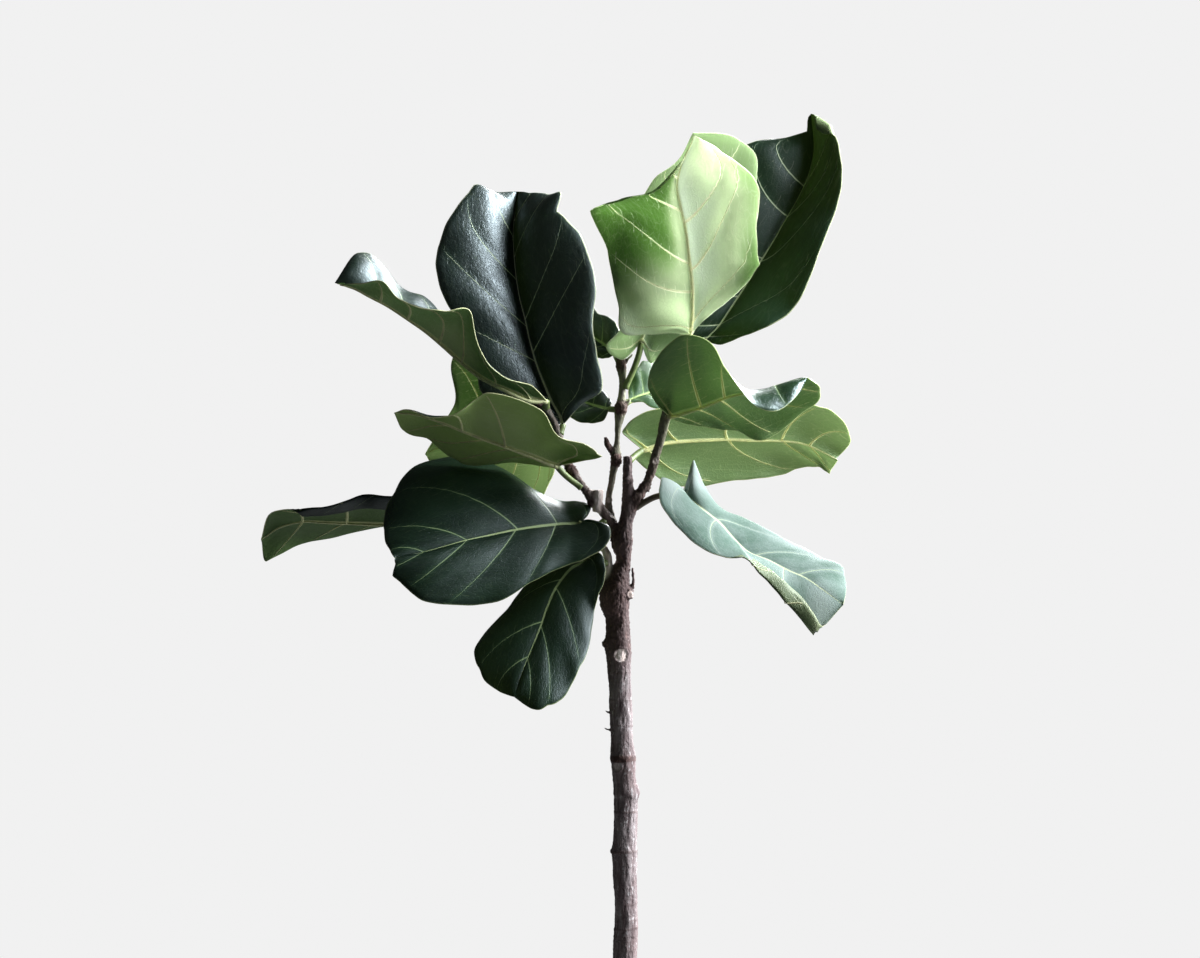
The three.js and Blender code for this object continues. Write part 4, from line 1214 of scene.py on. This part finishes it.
def side_veins(leaf):
    """The same for each side vein, which has no petiole."""
    reach = np.linspace(0.0, VEIN_REACH, VEIN_STEPS)
    for side in ("left", "right"):
        for start, end in leaf.veins[side]:
            at = start + (end - start) * reach**VEIN_BEND
            point, width = leaf.at(side, at, reach)
            if width.max() < NARROWEST:
                continue
            inside = np.clip(at, END_ROWS, leaf.rows - END_ROWS)
            down = -leaf.normal(side, inside, np.maximum(reach, LEAST_REACH))
            thick = VEIN_RADIUS * min(1.0, SMALL_VEIN + width.max() / VEIN_WIDTH_SCALE)
            radii = thick + (VEIN_TIP_RADIUS - thick) * (reach / VEIN_REACH) ** VEIN_TAPER
            yield point + down * (THICKNESS / 2 + VEIN_OUT * radii - VEIN_SUNK)[:, None], radii, VEIN_SIDES, 0


def make_ribs(leaf, name, looks):
    """The petiole, and the raised midrib and side veins of the underside."""
    vertices, faces, kinds = [], [], []
    for points, radii, sides, stalk_bands in [stalk_and_midrib(leaf), *side_veins(leaf)]:
        more, rings = tube_mesh(points, radii, sides, len(vertices))
        vertices.extend(more)
        faces.extend(rings)
        stalk = stalk_bands * sides
        foot = STALK if stalk else RIB
        kinds.extend([STALK] * stalk + [RIB] * (len(rings) - stalk - 2) + [foot, RIB])
    return make_object(name + "_ribs", vertices, faces, looks, kinds)


def make_leaf(name, looks):
    leaf = Leaf(name)
    halves = blade_grid(leaf)
    vertices, faces = blade_mesh(leaf, halves)
    rings = [ring for ring, _, _ in faces]
    kinds = [kind for _, kind, _ in faces]
    blade = make_object(name + "_blade", vertices, rings, looks, kinds)
    fill_coordinates(blade.data, faces, halves)
    merge_doubles(blade.data)
    for piece in (blade, make_ribs(leaf, name, looks)):
        settle(piece, [name])


def make_leaves():
    stalks = {
        False: petiole_material("green", (0.2, 0.27, 0.09), (0.09, 0.07, 0.045)),
        True: petiole_material("brown", (0.13, 0.105, 0.06), (0.05, 0.032, 0.025)),
    }
    looks = {}
    for kind, look in LOOKS.items():
        rib = rib_material(kind, look)
        # the margin faces take the pale rib colour: partly the edge's own colour, partly a painted highlight
        looks[kind] = [upper_material(kind, look), under_material(kind, look), rib, rib]
    for name in LEAVES:
        kind = AGES.get(name, "old")
        make_leaf(name, [*looks[kind], stalks[name in BROWN_STALKS]])


# ---- wood ----
def stem_curve(rows):
    """Fine points and radii along a stem."""
    places = [seen(row) for row in rows]
    radii = [row[3] for row in rows]
    if rows is STEMS["trunk"]:
        foot = (SOIL_TOP - TRUNK_IN_SOIL + FOOT_CLEARANCE, SOIL_TOP + FOOT_HEIGHT)
        places = [np.array([0.0, 0.0, height]) for height in foot] + places
        radii = [TRUNK_ROOT_RADIUS, TRUNK_ROOT_RADIUS - 1] + radii
    length = sum(np.linalg.norm(b - a) for a, b in zip(places, places[1:]))
    fine = np.linspace(0, len(places) - 1, int(length / WOOD_STEP) + 2)
    thick = spline(np.array(radii)[:, None], fine)[:, 0]
    return spline(places, fine), np.maximum(thick, min(radii) * LEAST_STEM)


# Bark at the foot and at the end of each stem: how young and green, how pale and pink, how dark.
STEM_TONES = {
    "trunk": ((0.0, 0.0, 0.0), (0.0, 0.0, 0.0)),
    # the stub is pale cut wood all over; its cut colour carries painted light
    "stub": ((0.0, 1.0, 0.0), (0.0, 1.0, 0.0)),
    "cut_stub": ((0.0, 0.7, 0.0), (0.0, 1.0, 0.0)),
    "centre_stem": ((0.5, 0.1, 0.35), (0.85, 0.05, 0.0)),
    "centre_spur": ((0.2, 0.0, 0.8), (0.1, 0.0, 0.9)),
    "left_branch": ((0.1, 0.0, 0.55), (0.4, 0.1, 0.1)),
    "right_branch": ((0.1, 0.0, 0.75), (0.95, 0.0, 0.0)),
}
# Knobs, buds and twigs: [across, down, depth, radius, stretch along Z, dark]
KNOBS = [
    [606, 586, -2, 7, 1.3, 0.6], [628, 594, -4, 5, 1.2, 0.3], [592, 502, -5, 4.6, 1.2, 0.7],
    [604, 548, -4, 3.6, 1.0, 1.0], [619, 538, 1, 7, 1.3, 1.0], [621, 408, 8, 6.4, 1.1, 0.9],
    [616, 460, 6, 5.4, 1.2, 1.0], [571, 471, -8, 5.4, 1.3, 1.0], [538, 405, 2, 5, 0.8, 1.0],
    [621, 364, 9, 5.6, 1.3, 0.8], [669, 409, -21, 5.6, 1.1, 0.9], [637, 497, -3, 6.5, 0.9, 0.6],
    [628, 481, -3, 5.2, 0.7, 0.3], [612.5, 851, -2, 2.8, 1.2, 0.2], [637, 793, -1, 3, 0.9, 0.5],
    [606, 644, -2, 4, 1.0, 0.5], [611, 606, -6, 6, 0.9, 0.4],
]
# Round cut scars: [across, down, depth, radius, paleness]
SCARS = [
    [621, 655, -11, 7.2, 1.0], [630, 594, -6, 4.2, 0.75], [617, 767, -10, 5.0, 0.35],
    [656, 461, -15, 4.0, 0.5],
    [609, 500, 0, 4.0, 0.4],
]
# Dark rings where leaves once stood on the trunk: down, half height, darkness
RINGS = [
    (757.5, 3.6, 1.2), (743, 12.0, 0.42), (903, 1.4, 0.4), (928, 1.2, 0.45), (935, 1.0, 0.35),
    (940, 1.0, 0.4),
    (700, 1.2, 0.35), (725, 1.4, 0.45), (780, 1.2, 0.3), (812, 1.6, 0.45), (851, 1.6, 0.5),
    (886, 1.2, 0.35), (920, 1.6, 0.4), (948, 1.2, 0.3), (672, 1.6, 0.5), (640, 2.0, 0.6), (606, 3.0, 0.6),
    (590, 2.4, 0.6), (576, 2.0, 0.5), (558, 1.4, 0.4), (540, 3.0, 0.8), (520, 1.4, 0.4), (498, 1.4, 0.4),
]
TWIGS = [
    [(610, 730, -2), (606, 729, -2), (604, 727, -2), 1.3], [(611, 713, -4), (607, 712, -5),
    (605, 710, -5), 1.0],
    [(622, 366, 9), (628, 359, 8), (633, 354, 8), 1.8], [(636, 494, -1), (639, 488, -2), (640, 483, -2), 1.3],
    [(648, 492, -4), (650, 487, -4), (651, 483, -5), 1.2], [(632, 590, -2), (633.5, 578, -3),
    (632.5, 568, -3), 1.4],
    [(562, 470, -9), (556, 464, -10), (553, 459, -10), 1.5], [(537, 405, 2), (531, 405, 1),
    (526, 402, 1), 1.6],
    [(620, 412, 10), (627, 404, 9), (630, 399, 9), 1.7],
]


def knob_mesh(across, down, depth, radius, stretch, start):
    """An uneven ball, stretched along Z."""
    ball = bmesh.new()
    bmesh.ops.create_icosphere(ball, subdivisions=3, radius=1)
    centre = seen((across, down, depth))
    vertices = []
    for vertex in ball.verts:
        lump = 1 + KNOB_LUMP * noise.noise(vertex.co * 1.7 + Vector(centre))
        vertices.append(centre + np.array(vertex.co) * np.array([1, 1, stretch]) * radius * lump)
    faces = [tuple(start + v.index for v in face.verts) for face in ball.faces]
    ball.free()
    return vertices, faces


def wood_mesh():
    vertices, faces = [], []

    def gather(make, *values):
        more, rings = make(*values, len(vertices))
        vertices.extend(more)
        faces.extend(rings)

    for rows in STEMS.values():
        gather(tube_mesh, *stem_curve(rows), WOOD_SIDES)
    for *places, radius in TWIGS:
        path = spline([seen(p) for p in places], np.linspace(0, 2, TWIG_STEPS))
        gather(tube_mesh, path, np.linspace(radius * 1.3, radius * 0.7, TWIG_STEPS), TWIG_SIDES)
    for *form, _ in KNOBS:
        gather(knob_mesh, *form)
    return vertices, faces


def trunk_dark(point):
    down = VIEW_CENTRE[1] - (point[2] - VIEW_HEIGHT)
    dark = TRUNK_DARKNESS * float(smooth_step(down, *DARK_FROM))
    return dark * (0.55 + 0.45 * float(smooth_step(down, *DARK_EASES)))


def nearest_tones(mesh):
    """The tones of the nearest stem, evened out over the skin."""
    places = np.array([vertex.co[:] for vertex in mesh.vertices]) / MM
    order = np.argsort(places[:, 2])
    places = places[order]
    nearest = np.full(len(places), np.inf)
    tone = np.zeros((len(places), 3))
    for name, rows in STEMS.items():
        points, radii = stem_curve(rows)
        foot, end = np.array(STEM_TONES[name])
        for i, (point, radius) in enumerate(zip(points, radii)):
            young, pale, dark = foot + (end - foot) * i / len(points)
            if name == "trunk":
                dark = trunk_dark(point)
            low, high = np.searchsorted(places[:, 2], (point[2] - TONE_REACH, point[2] + TONE_REACH))
            far = np.linalg.norm(places[low:high] - point, axis=1) - radius
            closer = low + np.flatnonzero(far < nearest[low:high])
            nearest[closer] = far[closer - low]
            tone[closer] = young, pale, dark
    tone[order] = tone.copy()
    return evened(mesh, tone)


def evened(mesh, tone):
    """Each vertex takes the mean of itself and its neighbours, a few times over."""
    edges = np.array([edge.vertices[:] for edge in mesh.edges])
    share = np.bincount(edges.reshape(-1), minlength=len(tone))[:, None]
    for _ in range(TONE_ROUNDS):
        total = np.zeros_like(tone)
        for here, there in (edges.T, edges.T[::-1]):
            for channel in range(3):
                total[:, channel] += np.bincount(here, tone[there, channel], len(tone))
        tone = (tone + total) / (share + 1)
    return tone


def ring_at(place, pale, rings):
    """How dark a leaf ring is here: the rings tilt a little and are broken."""
    tilt = RING_TILT * noise.noise(Vector(place) * 0.02)
    broken = 0.65 + 0.7 * noise.noise(Vector(place) * 0.07)
    ring = 0.0
    for height, half, dark in rings:
        near = math.exp(-(((place[2] + tilt - height) / half) ** 4))
        ring = max(ring, broken * dark * near * (1 - pale))
    return ring


def scar_at(place, scars):
    """How pale a cut scar is here, and the height of its raised rim and sunk middle."""
    scar, height = 0.0, 0.0
    for centre, radius, paleness in scars:
        far = np.linalg.norm(place - centre) / radius
        if far < MARK_REACH:
            scar = max(scar, paleness * float(1 - smooth_step(far, 0.75, 1.0)))
            height += SCAR_RIM * math.exp(-(((far - 1.05) / 0.18) ** 2)) - SCAR_DEPTH * (far < 0.85)
    return scar, height


def knob_at(place, knobs):
    """How dark a knob is here."""
    knob = 0.0
    for centre, radius, dark in knobs:
        far = np.linalg.norm(place - centre) / radius
        if far < MARK_REACH:
            knob = max(knob, dark * float(1 - smooth_step(far, 0.8, 1.5)))
    return knob


def bark_relief(mesh):
    """Moves the skin by ridges, rings and scars, and notes each vertex's tone for the bark material."""
    stem_tone = nearest_tones(mesh)
    scars = [(seen(s[:3]), s[3], s[4]) for s in SCARS]
    knobs = [(seen(k[:3]), k[3] * max(k[4], 1), k[5]) for k in KNOBS]
    rings = [(seen((0, down, 0))[2], half, dark) for down, half, dark in RINGS]
    tone = np.ones((len(mesh.vertices), 4))
    normals = [vertex.normal.copy() for vertex in mesh.vertices]
    for vertex, normal in zip(mesh.vertices, normals):
        place = np.array(vertex.co) / MM
        young, pale, dark = stem_tone[vertex.index]
        ringed = place[2] < RING_LIMIT and young < RING_YOUNG
        ring = ring_at(place, pale, rings) if ringed else 0.0
        scar, rim = scar_at(place, scars)
        knob = knob_at(place, knobs)
        rough = noise.fractal(Vector((place[0] * 0.16, place[1] * 0.16, place[2] * 0.05)), 1.0, 2.0, 4)
        fine = noise.fractal(Vector(place * 0.45), 1.0, 2.0, 3)
        ridges = (0.75 - 0.35 * young) * rough + (0.25 + 0.9 * dark) * fine
        height = ridges + 0.75 * ring + rim + 0.8 * knob * fine
        vertex.co += normal * float(height) * MM
        tone[vertex.index, :3] = young, max(scar, pale), max(ring, knob * (1 - pale), dark) * (1 - scar)
    colour = mesh.color_attributes.new("tone", "FLOAT_COLOR", "POINT")
    colour.data.foreach_set("color", tone.reshape(-1))


def bark_material():
    mat = new_material("bark")
    where = mat.where()
    tone = mat.add("Attribute", attribute_name="tone").outputs["Color"]
    young, pale, dark = mat.add("SeparateColor", {0: tone}).outputs
    streak = mat.speckle(where, 210.0, 4.0, 0.6, (1.0, 1.0, 0.14))
    patch = mat.speckle(where, 34.0, 4.0, 0.6, (1.0, 1.0, 0.6))
    flecks = mat.speckle(where, 300.0, 3.0, 0.6, (1.0, 1.0, 0.5))
    crack = mat.net(mat.stretched(where, (1, 1, 0.3)), 170.0, 0.1)
    old = mat.blend(mat.spread(streak, 0.32, 0.68), (0.095, 0.067, 0.07), (0.25, 0.216, 0.22))
    old = mat.blend(mat.spread(patch, 0.42, 0.68, 0.0, 0.75), old, (0.13, 0.088, 0.088))
    old = mat.blend(mat.times(crack, 0.08), old, (0.035, 0.024, 0.022))
    old = mat.blend(mat.spread(flecks, 0.58, 0.68, 0.0, 0.8), old, (0.38, 0.36, 0.365))
    fresh = mat.blend(mat.spread(streak, 0.35, 0.65), (0.07, 0.085, 0.035), (0.2, 0.225, 0.115))
    fresh = mat.blend(mat.spread(flecks, 0.55, 0.68, 0.0, 0.55), fresh, (0.06, 0.042, 0.035))
    # pale cut wood of scars and stubs, made paler still as painted light for the stub in the trunk's shade
    cut = mat.blend(mat.spread(streak, 0.3, 0.7), (0.62, 0.49, 0.44), (0.9, 0.8, 0.77))
    colour = mat.blend(pale, mat.blend(young, old, fresh), cut)
    shade = mat.plus(dark, mat.times(mat.minus(streak, 0.5), 0.7))
    shade = mat.times(mat.spread(shade, 0.0, 0.9, 0.0, 0.93), mat.spread(dark, 0.0, 0.25))
    colour = mat.blend(shade, colour, (0.052, 0.025, 0.022))
    chips = mat.times(mat.spread(flecks, 0.52, 0.66, 0.0, 0.7), mat.spread(dark, 0.1, 0.6))
    colour = mat.blend(chips, colour, (0.17, 0.1, 0.09))
    relief = mat.minus(mat.weigh((streak, 1), (flecks, 0.5)), mat.times(crack, 0.12))
    return mat.finish(mat.surface(colour, 0.78, 0.3), relief, 0.8, 0.0016)


def skin_over(piece):
    """One closed skin around all stems, knobs and twigs, in place of their crossing forms."""
    skin = piece.modifiers.new("skin", "REMESH")
    skin.mode = "VOXEL"
    skin.voxel_size = BARK_VOXEL * MM
    skin.use_smooth_shade = True
    evaluated = piece.evaluated_get(bpy.context.evaluated_depsgraph_get())
    mesh = bpy.data.meshes.new_from_object(evaluated)
    piece.modifiers.clear()
    piece.data = mesh
    soften = bmesh.new()
    soften.from_mesh(mesh)
    axes = {"use_axis_x": True, "use_axis_y": True, "use_axis_z": True}
    for _ in range(BARK_SMOOTHING):
        bmesh.ops.smooth_vert(soften, verts=soften.verts, factor=0.5, **axes)
    soften.to_mesh(mesh)
    soften.free()
    mesh.update()
    return mesh


def make_wood():
    vertices, faces = wood_mesh()
    piece = make_object("wood_skin", vertices, faces, [bark_material()])
    mesh = skin_over(piece)
    bark_relief(mesh)
    mesh.update()
    settle(piece, ["wood"])


# ---- planter and soil ----
def wall_radius(height):
    return POT_FOOT_RADIUS + (POT_TOP_RADIUS - POT_FOOT_RADIUS) * height / POT_HEIGHT


def lathe_mesh(profile, sides):
    """Closed turned form; the profile starts and ends on the axis."""
    inner = profile[1:-1]
    vertices = [np.array([0, 0, profile[0][1]]), np.array([0, 0, profile[-1][1]])]
    for radius, height in inner:
        vertices.extend(circle(radius, height, sides))
    faces = bands(2, len(inner), sides)
    last = 2 + (len(inner) - 1) * sides
    for s in range(sides):
        t = (s + 1) % sides
        faces.append((0, 2 + t, 2 + s))
        faces.append((1, last + s, last + t))
    return vertices, faces


def rounded(centre, radius, start, end, steps=6):
    """Points on an arc of a profile, from angle to angle in degrees."""
    turn = [math.radians(start + (end - start) * i / steps) for i in range(steps + 1)]
    return [(centre[0] + radius * math.cos(a), centre[1] + radius * math.sin(a)) for a in turn]


def pot_material():
    mat = new_material("stoneware")
    where = mat.where()
    cloud = mat.speckle(where, 9.0, 4.0)
    grain = mat.speckle(where, 650.0, 3.0)
    bands_of_clay = mat.speckle(where, 30.0, 4.0, 0.5, (0.15, 0.15, 6.0))
    dots = mat.add("TexVoronoi", {"Vector": where, "Scale": 190.0}).outputs["Distance"]
    some = mat.spread(mat.speckle(where, 70.0, 2.0), 0.45, 0.65)
    dots = mat.times(mat.spread(dots, 0.12, 0.24, 1.0, 0.0), some)
    clay = mat.blend(mat.spread(cloud, 0.3, 0.7), (0.125, 0.121, 0.115), (0.165, 0.16, 0.153))
    clay = mat.blend(mat.spread(bands_of_clay, 0.4, 0.75, 0.0, 0.3), clay, (0.095, 0.09, 0.084))
    clay = mat.blend(mat.times(dots, 0.7), clay, (0.035, 0.029, 0.025))
    relief = mat.minus(mat.weigh((grain, 0.3), (bands_of_clay, 1)), mat.times(dots, 0.4))
    return mat.finish(mat.surface(clay, mat.spread(grain, 0.2, 0.8, 0.55, 0.75)), relief, 0.4, 0.0006)


def make_pot():
    top = POT_HEIGHT
    outside = [(wall_radius(h), h) for h in np.linspace(6, top - LIP_BAND, 26)]
    inside = [(wall_radius(h) - POT_WALL, h) for h in np.linspace(top - LIP_BAND, POT_FLOOR + 6, 14)]
    foot = [(POT_FOOT_RADIUS - 16, FOOT_HOLLOW), (POT_FOOT_RADIUS - 13, 0.0)]
    foot += rounded((POT_FOOT_RADIUS - 3.4, FOOT_ROUND), FOOT_ROUND, -90, -12)
    rim = rounded((wall_radius(top) - LIP - 0.4, top - LIP), LIP, 8, 90)
    rim += rounded((wall_radius(top) - POT_WALL + LIP + 0.2, top - LIP), LIP, 90, 172)
    profile = [(0, FOOT_HOLLOW), *foot, *outside, *rim, *inside, (0, POT_FLOOR)]
    vertices, faces = lathe_mesh(profile, POT_SIDES)
    settle(make_object("planter", vertices, faces, [pot_material()]), ["pot"])


def soil_material():
    mat = new_material("potting_soil")
    where = mat.where()
    clods = mat.speckle(where, 55.0, 5.0, 0.65)
    grain = mat.speckle(where, 520.0, 4.0, 0.7)
    soil = mat.blend(mat.spread(clods, 0.3, 0.7), (0.008, 0.005, 0.003), (0.034, 0.022, 0.015))
    soil = mat.blend(mat.spread(grain, 0.55, 0.75, 0.0, 0.8), soil, (0.06, 0.042, 0.03))
    return mat.finish(mat.surface(soil, 0.95, 0.25), mat.weigh((clods, 1), (grain, 0.6)), 1.0, 0.004)


def crumb_material():
    mat = new_material("perlite")
    grain = mat.speckle(mat.where(), 900.0, 3.0)
    white = mat.blend(grain, (0.17, 0.16, 0.14), (0.3, 0.29, 0.27))
    return mat.finish(mat.surface(white, 0.9), grain, 0.7, 0.001)


def soil_height(x, y):
    far = math.hypot(x, y)
    edge = wall_radius(SOIL_TOP) - POT_WALL
    mound = SOIL_MOUND * (1 - smooth_step(far, TRUNK_ROOT_RADIUS, edge * 0.9))
    rough = noise.fractal(Vector((x, y, 0)) * 0.045, 1.0, 2.1, 5)
    return SOIL_TOP - SOIL_SINK + float(mound) + SOIL_ROUGH * rough


def soil_mesh():
    """A bed with a hidden side at the wall and another at the trunk."""
    edge = wall_radius(SOIL_TOP) - POT_WALL - 0.8
    radii = np.linspace(edge, TRUNK_ROOT_RADIUS - 2.5, SOIL_RINGS)
    low = SOIL_TOP - SOIL_SKIRT
    vertices = circle(edge - 3, low, SOIL_SIDES)
    for radius in radii:
        for place in circle(radius, low, SOIL_SIDES):
            place[2] = soil_height(place[0], place[1])
            vertices.append(place)
    vertices.extend(circle(radii[-1], low, SOIL_SIDES))
    faces = bands(0, SOIL_RINGS + 2, SOIL_SIDES)
    inner = (SOIL_RINGS + 1) * SOIL_SIDES
    for s in range(SOIL_SIDES):
        t = (s + 1) % SOIL_SIDES
        faces.append((inner + s, inner + t, t, s))
    return vertices, faces


def crumb(vertices, faces, place, size, draw):
    ball = bmesh.new()
    bmesh.ops.create_icosphere(ball, subdivisions=1, radius=1)
    start = len(vertices)
    stretch = np.array([draw.uniform(0.7, 1.3), draw.uniform(0.7, 1.3), draw.uniform(0.5, 0.9)])
    for vertex in ball.verts:
        vertices.append(np.array(place) + np.array(vertex.co) * size * stretch * draw.uniform(0.75, 1.2))
    faces.extend([tuple(start + v.index for v in face.verts) for face in ball.faces])
    ball.free()


def make_soil():
    draw = random.Random(CRUMB_SEED)
    soil = soil_material()
    vertices, faces = soil_mesh()
    settle(make_object("soil_bed", vertices, faces, [soil]), ["soil"])
    room = wall_radius(SOIL_TOP) - POT_WALL - 8
    for name, material, count, small, large in (
        ("soil_crumbs", soil, 900, 1.0, 3.4),
        ("soil_perlite", crumb_material(), 70, 0.8, 2.0),
    ):
        vertices, faces = [], []
        for _ in range(count):
            far = math.sqrt(draw.uniform((TRUNK_ROOT_RADIUS + 6) ** 2, room**2))
            angle = draw.uniform(0, 2 * math.pi)
            x, y = far * math.cos(angle), far * math.sin(angle)
            size = draw.uniform(small, large)
            crumb(vertices, faces, (x, y, soil_height(x, y) + size * 0.25), size, draw)
        settle(make_object(name, vertices, faces, [material], smooth=False), ["soil"])


# ---- floor, light and camera ----
def floor_material():
    """Pale near the planter, and gone further out."""
    mat = new_material("pale_floor")
    where = mat.where()
    far = mat.add("VectorMath", {0: where}, operation="LENGTH").outputs["Value"]
    cloud = mat.speckle(where, 2.5, 3.0)
    pale = mat.blend(cloud, (0.122, 0.122, 0.121), (0.135, 0.135, 0.134))
    clear = mat.add("BsdfTransparent")
    shader = mat.mix(mat.spread(far, 0.5, 1.4), mat.surface(pale, 0.8), clear)
    return mat.finish(shader, cloud, 0.05, 0.001)


def make_floor():
    material = floor_material()
    vertices = [np.array([0.0, 0.0, FLOOR_LEVEL]), *circle(FLOOR_RADIUS, FLOOR_LEVEL, FLOOR_SIDES)]
    faces = [(0, 1 + s, 1 + (s + 1) % FLOOR_SIDES) for s in range(FLOOR_SIDES)]
    make_object("floor", vertices, faces, [material])


def make_world():
    world = bpy.data.worlds.new("pale_room")
    bpy.context.scene.world = world
    room = Nodes(world)
    backdrop = room.add("Background", {"Color": (0.879, 0.879, 0.879), "Strength": 1.0})
    lighting = room.add("Background", {"Color": (0.92, 0.97, 1.0), "Strength": 0.062})
    seen_plain = room.add("LightPath").outputs["Is Camera Ray"]
    room.add("OutputWorld", {"Surface": room.mix(seen_plain, lighting, backdrop).outputs[0]})


def make_light(name, place, size, watts, colour):
    light = bpy.data.lights.new(name, "AREA")
    light.shape = "RECTANGLE"
    light.size, light.size_y = size
    light.energy = watts
    light.color = colour
    lamp = bpy.data.objects.new(name, light)
    lamp.location = place
    lamp.rotation_euler = (Vector(CROWN_CENTRE) - Vector(place)).to_track_quat("-Z", "Y").to_euler()
    bpy.context.scene.collection.objects.link(lamp)


def make_camera():
    camera = bpy.data.cameras.new("camera")
    camera.sensor_width = SENSOR
    camera.sensor_fit = "HORIZONTAL"
    camera.lens = SENSOR * VIEW_DISTANCE / VIEW_WIDTH
    camera.clip_end = VIEW_END
    eye = bpy.data.objects.new("camera", camera)
    eye.location = Vector((VIEW_SIDE, -VIEW_DISTANCE, VIEW_HEIGHT)) * MM
    eye.rotation_euler = (math.radians(90), 0, 0)
    bpy.context.scene.collection.objects.link(eye)
    bpy.context.scene.camera = eye


bpy.context.scene.view_settings.view_transform = "Standard"
make_camera()
make_world()
for light_name, light_form in LIGHTS.items():
    make_light(light_name, *light_form)
make_floor()
make_pot()
make_soil()
make_wood()
make_leaves()
